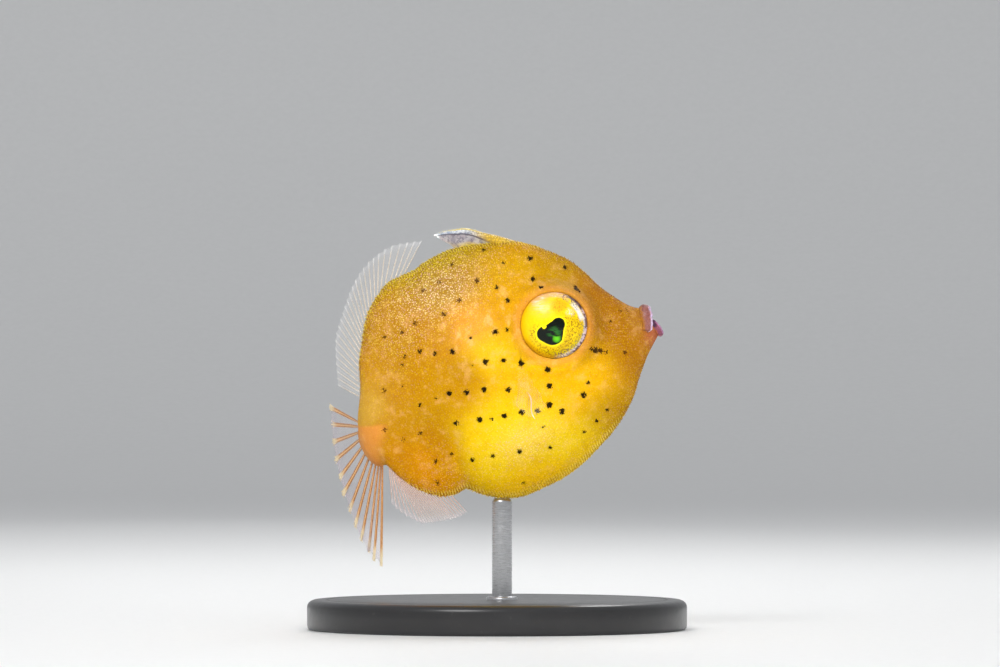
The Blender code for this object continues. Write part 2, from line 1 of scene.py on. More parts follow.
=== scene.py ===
"""A young filefish on its display stand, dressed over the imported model.

Lengths are metres. Places on the body are (back, up): how far behind the tip of the mouth and above
the body's axis, in hundredths of the standard length. The world's +X is the way the fish faces.
"""

import math

import bmesh
import bpy
import numpy as np
from mathutils import Matrix, Vector


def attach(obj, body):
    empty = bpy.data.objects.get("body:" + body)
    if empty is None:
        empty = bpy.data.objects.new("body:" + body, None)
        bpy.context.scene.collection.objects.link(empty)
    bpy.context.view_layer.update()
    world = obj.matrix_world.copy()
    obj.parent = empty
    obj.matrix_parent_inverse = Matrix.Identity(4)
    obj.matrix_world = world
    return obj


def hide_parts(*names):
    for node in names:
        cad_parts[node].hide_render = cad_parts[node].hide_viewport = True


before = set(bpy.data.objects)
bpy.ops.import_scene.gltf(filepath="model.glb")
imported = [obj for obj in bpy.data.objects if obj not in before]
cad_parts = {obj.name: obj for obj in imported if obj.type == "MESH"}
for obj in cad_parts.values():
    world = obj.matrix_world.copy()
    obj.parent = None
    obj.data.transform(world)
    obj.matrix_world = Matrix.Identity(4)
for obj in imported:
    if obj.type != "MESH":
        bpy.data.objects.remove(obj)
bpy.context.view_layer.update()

MM = 0.001


# The display table: a plain pale dish, flat under the stand and curving up far from it, lit by soft
# studio panels. The camera stands level with the fish, far to its right, with a long lens.
CAMERA_PLACE = Vector((0.15, -400, 14.8)) * MM
CAMERA_LENS = 288
DISH_SIDES = 128
DISH_PROFILE = ((330, 0), (370, 3), (405, 12), (435, 28), (458, 50), (474, 78), (484, 110), (488, 150))
# Each panel: its name, place, aim and size in millimetres, watts, spread in degrees, seen in gloss.
PANELS = (
    ("key panel", (-70, -150, 150), (0, 0, 13), 90, 0.17, 180, True),
    ("front panel", (25, -270, 30), (0, 0, 6), 60, 0.0185, 36, False),
    ("fill panel", (130, -120, 115), (0, 0, 12), 90, 0.04, 180, False),
    ("back panel", (-25, 270, 60), (0, 0, 10), 90, 0.016, 36, False),
    ("rim panel", (30, 120, 150), (0, 0, 14), 80, 0.10, 180, True),
)
ROOM_LIGHT = 0.50


class Wire:
    """One output of a material's nodes, so that sums on it read as plain Python."""

    def __init__(self, finish, socket):
        self.finish = finish
        self.socket = socket

    def sum_with(self, operation, *values):
        return self.finish.node("ShaderNodeMath", dict(enumerate(values)), operation=operation)

    def __add__(self, other):
        return self.sum_with("ADD", self, other)

    def __sub__(self, other):
        return self.sum_with("SUBTRACT", self, other)

    def __rsub__(self, other):
        return self.sum_with("SUBTRACT", other, self)

    def __mul__(self, other):
        return self.sum_with("MULTIPLY", self, other)

    def __truediv__(self, other):
        return self.sum_with("DIVIDE", self, other)

    __radd__ = __add__
    __rmul__ = __mul__

    def rise(self, low, high):
        """0 below `low`, 1 above `high` and smooth between; falls instead where low is the larger."""
        first, last = (low, high) if low < high else (high, low)
        ends = (0.0, 1.0) if low < high else (1.0, 0.0)
        return self.finish.node(
            "ShaderNodeMapRange", {0: self, 1: first, 2: last, 3: ends[0], 4: ends[1]},
            interpolation_type="SMOOTHSTEP",
        )


class Finish:
    """A material and the nodes that paint it, with one call for every kind of node."""

    def __init__(self, name, **steady):
        self.material = bpy.data.materials.new(name)
        self.material.use_nodes = True
        self.tree = self.material.node_tree
        self.shader = self.tree.nodes["Principled BSDF"]
        for socket, value in steady.items():
            self.shader.inputs[socket.replace("_", " ")].default_value = value

    def feed(self, socket, value):
        if isinstance(value, Wire):
            self.tree.links.new(value.socket, socket)
        elif hasattr(socket.default_value, "__len__") and len(value) < len(socket.default_value):
            socket.default_value = (*value, 1)
        else:
            socket.default_value = value

    def node(self, kind, values=None, output=0, **settings):
        node = self.tree.nodes.new(kind)
        for setting, value in settings.items():
            setattr(node, setting, value)
        for socket, value in (values or {}).items():
            self.feed(node.inputs[socket], value)
        return Wire(self, node.outputs[output])

    def place(self):
        """Object coordinates in millimetres."""
        raw = self.node("ShaderNodeTexCoord", output="Object")
        return self.node("ShaderNodeVectorMath", {0: raw, "Scale": 1000}, operation="SCALE")

    def vector(self, operation, first, second, output=0):
        """Vector Math on two vectors; output="Value" gives its number, such as a distance."""
        return self.node("ShaderNodeVectorMath", {0: first, 1: second}, output, operation=operation)

    def stretched(self, where, scale, turn=0.0):
        """Coordinates turned about the line across the fish, then scaled along each axis."""
        return self.node("ShaderNodeMapping", {
            "Vector": where, "Rotation": (0, turn, 0), "Scale": scale,
        })

    def held(self, attribute, output="Fac"):
        """An attribute that the mesh carries: a number, or a colour with output="Color"."""
        return self.node("ShaderNodeAttribute", output=output, attribute_name=attribute)

    def noise(self, where, scale, detail=3, rough=0.55):
        return self.node("ShaderNodeTexNoise", {
            "Vector": where, "Scale": scale, "Detail": detail, "Roughness": rough,
        })

    def cells(self, where, scale, output="Distance"):
        return self.node("ShaderNodeTexVoronoi", {"Vector": where, "Scale": scale}, output)

    def channel(self, colour, which):
        """The red, green or blue of a colour, 0, 1 or 2, as a number."""
        return self.node("ShaderNodeSeparateColor", {0: colour}, which)

    def wave(self, value):
        return self.node("ShaderNodeMath", {0: value}, operation="SINE")

    def mix(self, share, first, second, blend="MIX"):
        return self.node("ShaderNodeMix", {0: share, 6: first, 7: second}, output=2,
                         data_type="RGBA", blend_type=blend)

    def painted(self, colour, *layers):
        """A colour under thin coats, each (share, tone), or (share, tone, "MULTIPLY") to shade it."""
        for share, tone, *blend in layers:
            colour = self.mix(share, colour, tone, *blend)
        return colour

    def least(self, first, second, width):
        """The lesser of two values, with the crossing rounded over `width`."""
        return self.node("ShaderNodeMath", {0: first, 1: second, 2: width}, operation="SMOOTH_MIN")

    def most(self, first, second, width):
        return self.node("ShaderNodeMath", {0: first, 1: second, 2: width}, operation="SMOOTH_MAX")

    def bump(self, height, distance, strength=1.0, over=None):
        values = {"Height": height, "Distance": distance, "Strength": strength}
        if over is not None:
            values["Normal"] = over
        return self.node("ShaderNodeBump", values)

    def surface(self, **sockets):
        for socket, value in sockets.items():
            self.feed(self.shader.inputs[socket.replace("_", " ")], value)
        return self.material


def plain_object(name, mesh):
    thing = bpy.data.objects.new(name, mesh)
    bpy.context.scene.collection.objects.link(thing)
    return thing


def point_at(thing, target):
    thing.rotation_euler = (target - thing.location).to_track_quat("-Z", "Y").to_euler()


camera = plain_object("camera", bpy.data.cameras.new("camera"))
camera.data.lens = CAMERA_LENS
camera.data.clip_start = 0.005
camera.data.clip_end = 5
camera.location = CAMERA_PLACE
camera.rotation_euler = (math.pi / 2, 0, 0)
bpy.context.scene.camera = camera

for name, stand, target, size, power, spread, seen in PANELS:
    lamp = bpy.data.lights.new(name, "AREA")
    lamp.shape = "DISK"
    lamp.size = size * MM
    lamp.energy = power
    lamp.spread = math.radians(spread)
    panel = plain_object(name, lamp)
    panel.location = Vector(stand) * MM
    panel.visible_camera = False
    panel.visible_glossy = seen
    point_at(panel, Vector(target) * MM)

room = bpy.data.worlds.new("room light")
room.use_nodes = True
room.node_tree.nodes["Background"].inputs["Color"].default_value = (0.94, 0.96, 1.0, 1)
room.node_tree.nodes["Background"].inputs["Strength"].default_value = ROOM_LIGHT
bpy.context.scene.world = room
bpy.context.scene.view_settings.view_transform = "Standard"

dish_points = [(0, 0, 0)]
for radius, height in DISH_PROFILE:
    for step in range(DISH_SIDES):
        turn = 2 * math.pi * step / DISH_SIDES
        dish_points.append((radius * math.cos(turn) * MM, radius * math.sin(turn) * MM, height * MM))
dish_faces = [(0, 1 + step, 1 + (step + 1) % DISH_SIDES) for step in range(DISH_SIDES)]
for ring in range(len(DISH_PROFILE) - 1):
    start = 1 + ring * DISH_SIDES
    for step in range(DISH_SIDES):
        beside = (step + 1) % DISH_SIDES
        dish_faces.append((start + step, start + DISH_SIDES + step,
                           start + DISH_SIDES + beside, start + beside))
dish_mesh = bpy.data.meshes.new("dish")
dish_mesh.from_pydata(dish_points, [], dish_faces)
dish_mesh.shade_smooth()
dish = plain_object("dish", dish_mesh)
paper = Finish("pale paper", Roughness=0.85)
paper_grain = paper.noise(paper.place(), 1.6)
dish_mesh.materials.append(paper.surface(
    Base_Color=paper.mix(paper_grain, (0.80, 0.80, 0.79), (0.85, 0.85, 0.84)),
))


# The skin of the whole fish: one deep, narrow body with a small upturned mouth, a swollen belly and a
# tail root that turns to the fish's left. It is tough hide, modelled from its outline and its breadth,
# with a raised fold round each eye, the gill slits and the nostrils cut in.
STANDARD_LENGTH = 17.5 * MM
PERCENT = STANDARD_LENGTH / 100
PITCH = math.radians(22.9)
MOUTH_PLACE = Vector((8.2 * MM, 0, 15.4 * MM))
BACK_LINE = (
    (2.4, 5.0), (6.0, 7.4), (9.1, 11.2), (12.2, 16.0), (14.7, 21.6), (17.6, 26.7), (21.0, 30.3),
    (26.3, 35.2), (30.6, 37.9), (34.5, 39.2), (41.2, 41.2), (49.0, 42.5), (56.0, 41.9), (59.6, 41.0),
    (66.1, 40.9), (72.3, 38.0), (76.1, 34.9), (80.9, 28.0), (83.9, 23.0), (87.0, 15.0), (90.2, 10.2),
    (92.4, 7.7), (95.4, 6.2), (96.9, 4.2), (97.6, 2.0),
)
BELLY_LINE = (
    (2.4, -3.6), (7.2, -7.6), (11.6, -12.1), (16.4, -17.6), (23.6, -22.9), (30.0, -26.1),
    (38.8, -29.4), (46.0, -30.6), (54.2, -30.8), (60.9, -29.0), (66.8, -25.1), (69.9, -22.4),
    (73.2, -22.7), (75.8, -22.2), (79.5, -20.1), (83.0, -16.8), (86.1, -12.1), (88.6, -7.4),
    (90.6, -7.2), (93.4, -7.0), (95.8, -5.8), (97.0, -3.8), (97.6, -2.0),
)
HALF_WIDTH = (
    (2.4, 2.5), (6.0, 3.4), (12.0, 5.6), (20.0, 9.2), (29.0, 12.0), (42.0, 13.9), (52.0, 13.6),
    (65.0, 10.8), (75.0, 7.6), (84.0, 4.4), (88.0, 3.2), (94.0, 2.8), (96.6, 2.3), (97.6, 1.5),
)
BODY_START, BODY_RUN = 2.4, 95.2
SKIN_UNDER = 0.035 * MM
SKIN_STATIONS = 250
SKIN_SIDES = 300
TAIL_TURN = math.radians(74)
TAIL_TURN_RADIUS = 0.90 * MM
TURN_START = 84.7
EYE_PLACE = (28.7, 10.9)
EYE_OUT = 1.80 * MM
EYE_RADIUS = 1.70 * MM
EYE_DEPTH = 1.05 * MM
EYE_VISIBLE = 1.63 * MM
EYE_FOLD_RADIUS = 1.80 * MM
EYE_FOLD_RISE = 0.10 * MM
EYE_FOLD_WIDTH = 0.11 * MM
NOSTRILS = ((18.9, 18.7), (18.2, 16.9))
NOSTRIL_RADIUS, NOSTRIL_DEPTH = 0.055 * MM, 0.14 * MM
GILL_TOP = (40.6, 6.8)
GILL_LOW = (41.9, 2.9)
GILL_BOW = 0.35
GILL_RINGS = 15
CREASE_TOP = (65.8, -2.6)
CREASE_VENT = (70.0, -23.0)
RIPPLE_WAVES = 7
WELD = 0.5e-6


def ease(x):
    """A smooth step: 0 up to x = 0, 1 from x = 1."""
    x = np.clip(x, 0, 1)
    return x * x * (3 - 2 * x)


def through(landmarks, at):
    """Heights at the places `at` on a smooth curve through the landmarks that never overshoots them."""
    x, y = (np.array(column, float) for column in zip(*landmarks))
    step = np.diff(x)
    slope = np.diff(y) / step
    lean = np.empty(len(x))
    lean[0], lean[-1] = slope[0], slope[-1]
    before, after = slope[:-1], slope[1:]
    same_way = before * after > 0
    lean[1:-1] = np.where(same_way, 2 * before * after / np.where(same_way, before + after, 1), 0)
    at = np.clip(np.asarray(at, float), x[0], x[-1])
    i = np.clip(np.searchsorted(x, at) - 1, 0, len(step) - 1)
    t = (at - x[i]) / step[i]
    return (
        y[i] * (1 + 2 * t) * (1 - t) ** 2
        + step[i] * lean[i] * t * (1 - t) ** 2
        + y[i + 1] * t**2 * (3 - 2 * t)
        + step[i] * lean[i + 1] * t**2 * (t - 1)
    )


def mound(back, up, middle, reach):
    """1 at its middle, 0 past its reach and smooth between."""
    return ease(1 - np.hypot((back - middle[0]) / reach[0], (up - middle[1]) / reach[1]))


def crease_at(up):
    """How far back the crease behind the swollen belly lies at a height."""
    return np.interp(-np.asarray(up), (-CREASE_TOP[1], -CREASE_VENT[1]), (CREASE_TOP[0], CREASE_VENT[0]))


def from_eye(back, up):
    """How far a place lies from the middle of the eye, in metres, seen from the side."""
    return np.hypot(back - EYE_PLACE[0], up - EYE_PLACE[1]) * PERCENT


def ripple(back, up, size, seed):
    """A slow unevenness of living flesh: a few crossed waves, about `size` hundredths apart."""
    rng = np.random.default_rng(seed)
    total = np.zeros(np.broadcast(back, up).shape)
    for _ in range(RIPPLE_WAVES):
        angle = rng.uniform(0, 2 * math.pi)
        length = size * rng.uniform(0.7, 1.5)
        wave = (back * math.cos(angle) + up * math.sin(angle)) * 2 * math.pi / length
        total += np.sin(wave + rng.uniform(0, 2 * math.pi))
    return total / RIPPLE_WAVES


def across_of(back, up):
    """Where a place lies between the two outlines: -1 on the belly's, 1 on the back's."""
    top, low = through(BACK_LINE, back), through(BELLY_LINE, back)
    return np.clip((up - (top + low) / 2) / ((top - low) / 2), -1, 1)


def half_breadth(back, up, fine=True):
    """Half the fish's breadth at (back, up), in metres, with its swellings, folds and hollows."""
    across = across_of(back, up)
    plain = through(HALF_WIDTH, back) * (1 - np.abs(across) ** 2.2) ** 0.62 * PERCENT
    belly = mound(back, up, (47.0, -14.0), (26.0, 18.0)) ** 0.6
    rise = 0.44 * MM * belly * ease((crease_at(up) - back) / 3.2)
    groove = np.exp(-(((back - crease_at(up) - 0.4) / 1.3) ** 2)) * ease((-3.0 - up) / 9)
    rise = rise - 0.13 * MM * groove
    rise = rise - 0.12 * MM * mound(back, up, (15.5, 5.0), (6.0, 5.5))
    rise = rise + 0.20 * MM * mound(back, up, (42.4, 1.6), (4.0, 5.0))
    away = from_eye(back, up)
    rise = rise + 0.36 * MM * np.exp(-((np.maximum(away - 1.98 * MM, 0) / (0.45 * MM)) ** 2))
    if fine:
        rise = rise + 0.018 * MM * ripple(back, up, 9, 3) + 0.010 * MM * ripple(back, up, 3.5, 5)
        for hole_back, hole_up in NOSTRILS:
            near = np.hypot(back - hole_back, up - hole_up) * PERCENT
            rise = rise + 0.03 * MM * np.exp(-(((near - 0.11 * MM) / (0.05 * MM)) ** 2))
    breadth = plain + rise * (1 - across**2)
    if not fine:
        return breadth
    rim = EYE_OUT + EYE_DEPTH * math.sqrt(1 - (EYE_VISIBLE / EYE_RADIUS) ** 2)
    fold = rim + EYE_FOLD_RISE * np.exp(-(((away - EYE_FOLD_RADIUS) / EYE_FOLD_WIDTH) ** 2))
    near_eye = 1 - ease((away - 1.74 * MM) / (0.62 * MM))
    return breadth + (fold - breadth) * near_eye


def place(back, side, up):
    """The fish-frame point (back, up) with `side` metres to the left of the middle plane."""
    return Vector((-back * PERCENT, side, up * PERCENT))


def turned(points):
    """Fish-frame points, an array, once the tail's root has turned to the fish's left."""
    points = np.array(points, float)
    past = np.maximum(-points[:, 0] - TURN_START * PERCENT, 0)
    angle = np.minimum(past / TAIL_TURN_RADIUS, TAIL_TURN)
    straight = past - angle * TAIL_TURN_RADIUS
    reach = TURN_START * PERCENT + TAIL_TURN_RADIUS * np.sin(angle) + straight * np.cos(angle)
    aside = TAIL_TURN_RADIUS * (1 - np.cos(angle)) + straight * np.sin(angle)
    tail = past > 0
    x = np.where(tail, points[:, 1] * np.sin(angle) - reach, points[:, 0])
    y = np.where(tail, points[:, 1] * np.cos(angle) + aside, points[:, 1])
    return np.stack([x, y, points[:, 2]], axis=1)


def posed(points):
    """Fish-frame points, an array, as they stand in the world: pitched nose-up, over the stand."""
    points = np.asarray(points, float)
    x = points[:, 0] * math.cos(PITCH) - points[:, 2] * math.sin(PITCH)
    z = points[:, 0] * math.sin(PITCH) + points[:, 2] * math.cos(PITCH)
    return np.stack([x, points[:, 1], z], axis=1) + np.array(MOUTH_PLACE)


def level(x, y, z):
    """A direction measured level with the stand, as the pitched fish's own frame has it."""
    return np.array([x * math.cos(PITCH) + z * math.sin(PITCH), y,
                     z * math.cos(PITCH) - x * math.sin(PITCH)])


def grid_mesh(name, points, caps=True):
    """A mesh over a grid of points, rows by columns, closed round its columns and at its ends."""
    rows, columns, _ = points.shape
    index = np.arange(rows * columns).reshape(rows, columns)
    beside = np.roll(index, -1, axis=1)
    quads = np.stack([index[:-1], beside[:-1], beside[1:], index[1:]], axis=-1).reshape(-1, 4)
    flat = points.reshape(-1, 3)
    faces = quads.tolist()
    if caps:
        flat = np.concatenate([flat, [points[0].mean(axis=0), points[-1].mean(axis=0)]])
        first, last = len(flat) - 2, len(flat) - 1
        faces += [(int(index[0, (j + 1) % columns]), int(index[0, j]), first) for j in range(columns)]
        faces += [(int(index[-1, j]), int(index[-1, (j + 1) % columns]), last) for j in range(columns)]
    mesh = bpy.data.meshes.new(name)
    mesh.from_pydata(flat.tolist(), [], faces)
    return mesh


def face_out(mesh):
    """Joins points that coincide, turns every face outwards and shades the mesh smooth."""
    surface = bmesh.new()
    surface.from_mesh(mesh)
    bmesh.ops.remove_doubles(surface, verts=surface.verts, dist=WELD)
    bmesh.ops.recalc_face_normals(surface, faces=surface.faces)
    surface.to_mesh(mesh)
    surface.free()
    mesh.shade_smooth()


def spots_of(mesh, what="co"):
    """The place, or the "normal", of every vertex of a mesh, an array."""
    flat = np.empty(len(mesh.vertices) * 3, np.float32)
    mesh.vertices.foreach_get(what, flat)
    return flat.reshape(-1, 3).astype(float)


def move_to(mesh, points):
    """Moves a mesh's vertices to an array of places."""
    mesh.vertices.foreach_set("co", np.asarray(points, np.float32).ravel())
    mesh.update()


def carve(mesh, cutters):
    """A mesh with closed cutters taken out of it; the cutters are removed."""
    body = plain_object("carving", mesh)
    for cutter_mesh in cutters:
        cutter = plain_object("cutter", cutter_mesh)
        cut = body.modifiers.new("cut", "BOOLEAN")
        cut.operation = "DIFFERENCE"
        cut.solver = "MANIFOLD"
        cut.object = cutter
    graph = bpy.context.evaluated_depsgraph_get()
    carved = bpy.data.meshes.new_from_object(body.evaluated_get(graph))
    for modifier in body.modifiers:
        bpy.data.objects.remove(modifier.object)
    bpy.data.objects.remove(body)
    carved.materials.clear()
    return carved


def egg(centre, across, along, turns=96, rings=48):
    """A closed ellipsoid with its poles to the fish's sides."""
    surface = bmesh.new()
    bmesh.ops.create_uvsphere(surface, u_segments=turns, v_segments=rings, radius=1)
    shape = Matrix.Translation(centre) @ Matrix.Rotation(math.pi / 2, 4, "X")
    shape = shape @ Matrix.Diagonal((across, across, along, 1))
    bmesh.ops.transform(surface, matrix=shape, verts=surface.verts)
    mesh = bpy.data.meshes.new("egg")
    surface.to_mesh(mesh)
    surface.free()
    return mesh


def gill_at(share):
    """The place (back, up) at a share of the way down the gill slit."""
    return [top + (low - top) * share for top, low in zip(GILL_TOP, GILL_LOW)]


def gill_cutter(side):
    """A thin curved blade for one gill slit."""
    rings = []
    for share in np.linspace(0, 1, GILL_RINGS):
        back, up = gill_at(share)
        back += GILL_BOW * math.sin(math.pi * share)
        surface = float(half_breadth(back, up))
        half = (0.004 + 0.022 * math.sin(math.pi * share)) * MM / PERCENT
        rings.append([
            place(back + ahead * half, side * (surface + out * MM), up)
            for ahead, out in ((-1, -0.22), (1, -0.22), (1, 0.3), (-1, 0.3))
        ])
    mesh = grid_mesh("gill cutter", np.array(rings))
    face_out(mesh)
    return mesh


def height_at(angle):
    """How high the skin's points lie at an angle round a section: 1 at the top, -1 underneath."""
    even = 1 - 2 * np.minimum(angle, 2 * math.pi - angle) / math.pi
    return (np.cos(angle) + even) / 2


share = np.linspace(0, 1, SKIN_STATIONS)
stations = BODY_START + BODY_RUN * (share - 0.10 * np.sin(2 * np.pi * share) / np.pi)
angles = np.linspace(0, 2 * math.pi, SKIN_SIDES, endpoint=False)
station_grid, height_grid = np.meshgrid(stations, height_at(angles), indexing="ij")
inset = SKIN_UNDER / PERCENT
tops, lows = through(BACK_LINE, stations) - inset, through(BELLY_LINE, stations) + inset
up_grid = ((tops + lows) / 2)[:, None] + ((tops - lows) / 2)[:, None] * height_grid
side_grid = np.maximum(half_breadth(station_grid, up_grid) - SKIN_UNDER, 0.012 * MM)
side_grid = side_grid * np.sign(np.sin(angles))[None, :]
side_grid[:, np.abs(np.sin(angles)) < 1e-9] = 0
straight_skin = grid_mesh("skin", np.stack(
    [-station_grid * PERCENT, side_grid, up_grid * PERCENT], axis=-1))
face_out(straight_skin)
cutters = []
for side in (-1, 1):
    cutters.append(egg(place(EYE_PLACE[0], side * EYE_OUT, EYE_PLACE[1]),
                       EYE_RADIUS + 0.02 * MM, EYE_DEPTH + 0.02 * MM))
    cutters.append(gill_cutter(side))
    for back, up in NOSTRILS:
        surface_at = side * float(half_breadth(back, up))
        cutters.append(egg(place(back, surface_at, up), NOSTRIL_RADIUS, NOSTRIL_DEPTH, 16, 10))
skin_mesh = carve(straight_skin, cutters)
skin_mesh.name = "skin"
face_out(skin_mesh)
straight = spots_of(skin_mesh)
move_to(skin_mesh, posed(turned(straight)))
skin = plain_object("skin", skin_mesh)


# The hide's markings, kept on the skin's own points so that its bristles carry them too: a ground of
# golds and pinks that changes over the body, small black spots in loose rows, a dusting of dark grains
# and a blush of pink marbling, with a pale highlight painted low on the belly. The left side has the same
# rows with its own small differences.
GROUND = (0.54, 0.25, 0.002)
REGIONS = (
    ("belly", (52, -14), (15, 9), 2.2, (0.98, 0.69, 0.004)),
    # A highlight painted on the belly, pale and whitish.
    ("painted highlight on the belly", (49, -16), (7, 4), 1.6, (0.96, 0.73, 0.150)),
    ("belly keel", (52, -29), (17, 5), 2.2, (0.99, 0.64, 0.0)),
    ("cheek", (30, -6), (10, 7), 1.8, (0.92, 0.50, 0.001)),
    ("shoulder", (48, 11), (7, 5), 1.6, (0.95, 0.61, 0.006)),
    ("gill flank", (41, 1), (9, 5), 1.3, (0.90, 0.53, 0.002)),
    ("front of the belly", (36, -23), (9, 6), 1.7, (0.95, 0.71, 0.010)),
    ("throat", (24, -19), (8, 6), 1.4, (0.48, 0.255, 0.0)),
    ("chin", (10, -6), (6, 6), 1.6, (0.38, 0.145, 0.003)),
    ("jaw", (3.4, -2.9), (2.3, 2.6), 5.0, (0.40, 0.105, 0.052)),
    ("snout", (12, 5), (6, 6), 1.9, (0.40, 0.160, 0.002)),
    ("snout tip", (6, 4), (3, 5), 1.5, (0.34, 0.150, 0.030)),
    ("snout ridge", (13, 16), (6, 6), 1.5, (0.42, 0.150, 0.002)),
    ("brow", (21, 26), (6, 7), 1.6, (0.51, 0.275, 0.0)),
    ("nape", (31, 34), (10, 7), 1.6, (0.70, 0.390, 0.0)),
    ("behind the eye", (38, 21), (7, 8), 1.4, (0.76, 0.38, 0.001)),
    ("pink flank", (51, 20), (6, 6), 1.6, (0.91, 0.42, 0.060)),
    ("pale back", (52, 34), (9, 6), 1.9, (0.60, 0.37, 0.055)),
    ("ridge of the back", (52, 41), (15, 4), 1.8, (0.58, 0.44, 0.002)),
    ("rear of the back", (71, 32), (8, 8), 1.2, (0.58, 0.30, 0.018)),
    ("rear", (80, 15), (7, 9), 1.4, (0.56, 0.270, 0.014)),
    ("rear flank", (68, 6), (9, 8), 1.2, (0.56, 0.275, 0.0)),
    ("lower rear", (78, 2), (5, 5), 1.2, (0.52, 0.255, 0.002)),
    ("middle of the flank", (60, 20), (5, 6), 1.5, (0.56, 0.26, 0.012)),
    ("under the tail root", (83, -6), (4, 5), 2.2, (0.56, 0.225, 0.0)),
    ("lobe of the anal fin", (76, -14), (7, 7), 1.8, (0.76, 0.300, 0.0)),
    ("before the lobe", (72, -9), (4, 8), 2.0, (0.42, 0.172, 0.0)),
    ("hind belly", (60, -20), (5, 6), 1.5, (1.00, 0.72, 0.004)),
    ("below the middle", (57, 9), (4, 4), 1.5, (0.48, 0.210, 0.0)),
    ("under the eye", (24, 1), (4, 2.5), 1.8, (0.50, 0.240, 0.0)),
    ("above the tail root", (87, 11), (5, 5), 2.4, (0.62, 0.365, 0.050)),
)
# Where the dark dusting, the pink blush and the pale frosting, with a painted highlight low on the belly,
# lie thick or thin: middle, reach, rise.
DUST = (
    ((27, 30), (14, 9), 0.55), ((14, 12), (9, 14), 0.60), ((74, 8), (10, 20), 0.25),
    ((50, -12), (16, 10), -0.35),
)
BLUSH = (
    ((50, 20), (13, 9), 0.60), ((74, 5), (12, 22), 0.12), ((40, -3), (9, 4), 0.25),
    ((50, -14), (16, 9), -0.25),
)
FROST_AND_SHEEN = (
    # The second patch, low on the belly, is a painted highlight.
    ((54, 33), (13, 9), 0.85), ((50, -17), (12, 6), 0.55), ((71, 26), (10, 12), 0.35),
    ((74, -14), (8, 9), 0.14), ((13, 4), (6, 7), 0.12),
)
TAIL_ROOT = (0.73, 0.290, 0.050)
EYE_RIM = (0.78, 0.330, 0.075)
# Every spot of the right side: back, up and radius in millimetres.
SPOTS = {
    "nape and back": (
        (38.6, 38.5, 0.090), (48.6, 38.3, 0.100), (53.9, 35.1, 0.080), (59.2, 34.5, 0.095),
        (35.0, 32.9, 0.080), (43.9, 31.1, 0.115), (27.5, 31.1, 0.125), (19.3, 24.9, 0.110),
        (29.1, 25.4, 0.135), (18.9, 18.1, 0.100), (50.8, 28.0, 0.120),
    ),
    "upper flank": (
        (39.5, 27.1, 0.115), (65.0, 26.8, 0.110), (74.4, 26.5, 0.060), (69.3, 25.9, 0.085),
        (56.3, 25.9, 0.125), (38.0, 22.6, 0.125), (27.8, 22.3, 0.100), (71.2, 19.2, 0.080),
        (66.7, 19.0, 0.120), (72.8, 17.3, 0.070), (51.9, 16.9, 0.085), (63.0, 16.7, 0.110),
        (44.7, 15.7, 0.150), (58.1, 15.2, 0.145), (41.4, 14.9, 0.115), (80.5, 12.7, 0.080),
        (75.2, 11.9, 0.060), (54.5, 9.6, 0.070),
    ),
    "rows of the flank": (
        (50.7, 8.9, 0.165), (45.8, 7.3, 0.120), (41.4, 4.6, 0.155), (35.2, 0.0, 0.155),
        (63.6, 4.7, 0.145), (59.0, 3.0, 0.145), (54.1, 1.8, 0.145), (47.7, -0.9, 0.145),
        (36.6, -4.5, 0.145), (58.6, -5.6, 0.155), (55.3, -6.7, 0.085), (51.6, -7.3, 0.135),
        (46.7, -8.3, 0.145), (42.4, -9.6, 0.135), (38.7, -9.4, 0.155), (36.0, -12.5, 0.150),
        (28.7, -10.6, 0.150), (65.2, -3.9, 0.130), (26.1, -7.9, 0.095), (42.7, -14.5, 0.070),
    ),
    "belly": (
        (59.1, -16.6, 0.105), (51.7, -18.4, 0.120), (43.2, -20.7, 0.100), (32.6, -20.4, 0.090),
        (53.9, -27.1, 0.085), (24.0, -17.1, 0.085), (28.0, -19.0, 0.100),
    ),
    "rear and lobe": (
        (72.6, 4.9, 0.090), (67.5, 4.9, 0.065), (84.7, 2.2, 0.050), (80.8, -2.4, 0.075),
        (75.6, -2.6, 0.095), (69.8, -11.5, 0.090), (74.7, -11.7, 0.100), (65.0, -15.4, 0.115),
        (76.7, -17.6, 0.100),
    ),
    "snout": (
        (13.3, 5.6, 0.050), (20.5, -0.2, 0.150), (12.9, -4.3, 0.115), (21.4, 0.5, 0.100),
        (19.3, -0.9, 0.125), (17.9, -2.0, 0.070), (9.6, 7.4, 0.050), (7.9, 6.8, 0.045),
    ),
}


def toned(back, up):
    """The ground colour at (back, up), an array of linear colours."""
    back, up = np.asarray(back, float), np.asarray(up, float)
    weights = np.full(back.shape, 0.35)
    total = weights[..., None] * np.array(GROUND)
    for _, middle, reach, strength, colour in REGIONS:
        away = ((back - middle[0]) / reach[0]) ** 2 + ((up - middle[1]) / reach[1]) ** 2
        near = strength * np.exp(-away)
        total = total + near[..., None] * np.array(colour)
        weights = weights + near
    return total / weights[..., None]


def spot_rows(side):
    """Every spot of one side, (back, up, radius in millimetres)."""
    rows = np.array([spot for group in SPOTS.values() for spot in group])
    if side > 0:
        rng = np.random.default_rng(41)
        rows = rows + rng.normal(0, 1, rows.shape) * np.array([1.0, 1.0, 0.012])
        rows[:, 2] = np.maximum(rows[:, 2], 0.045)
    return rows


def inked(back, side, up):
    """How far inside the nearest spot a place is, in millimetres; below zero outside."""
    deepest = np.full(np.shape(back), -0.30)
    for which in (-1, 1):
        here = np.asarray(side) * which >= 0
        for spot_back, spot_up, radius in spot_rows(which):
            away = np.hypot(back - spot_back, up - spot_up) * PERCENT / MM
            deepest = np.where(here, np.maximum(deepest, radius - away), deepest)
    (x, z), (x_end, z_end) = NOSTRILS
    lean, rise = x_end - x, z_end - z
    along = np.clip(((back - x) * lean + (up - z) * rise) / (lean**2 + rise**2), 0, 1)
    away = np.hypot(back - x - along * lean, up - z - along * rise) * PERCENT / MM
    return np.maximum(deepest, NOSTRIL_RADIUS / MM - away)


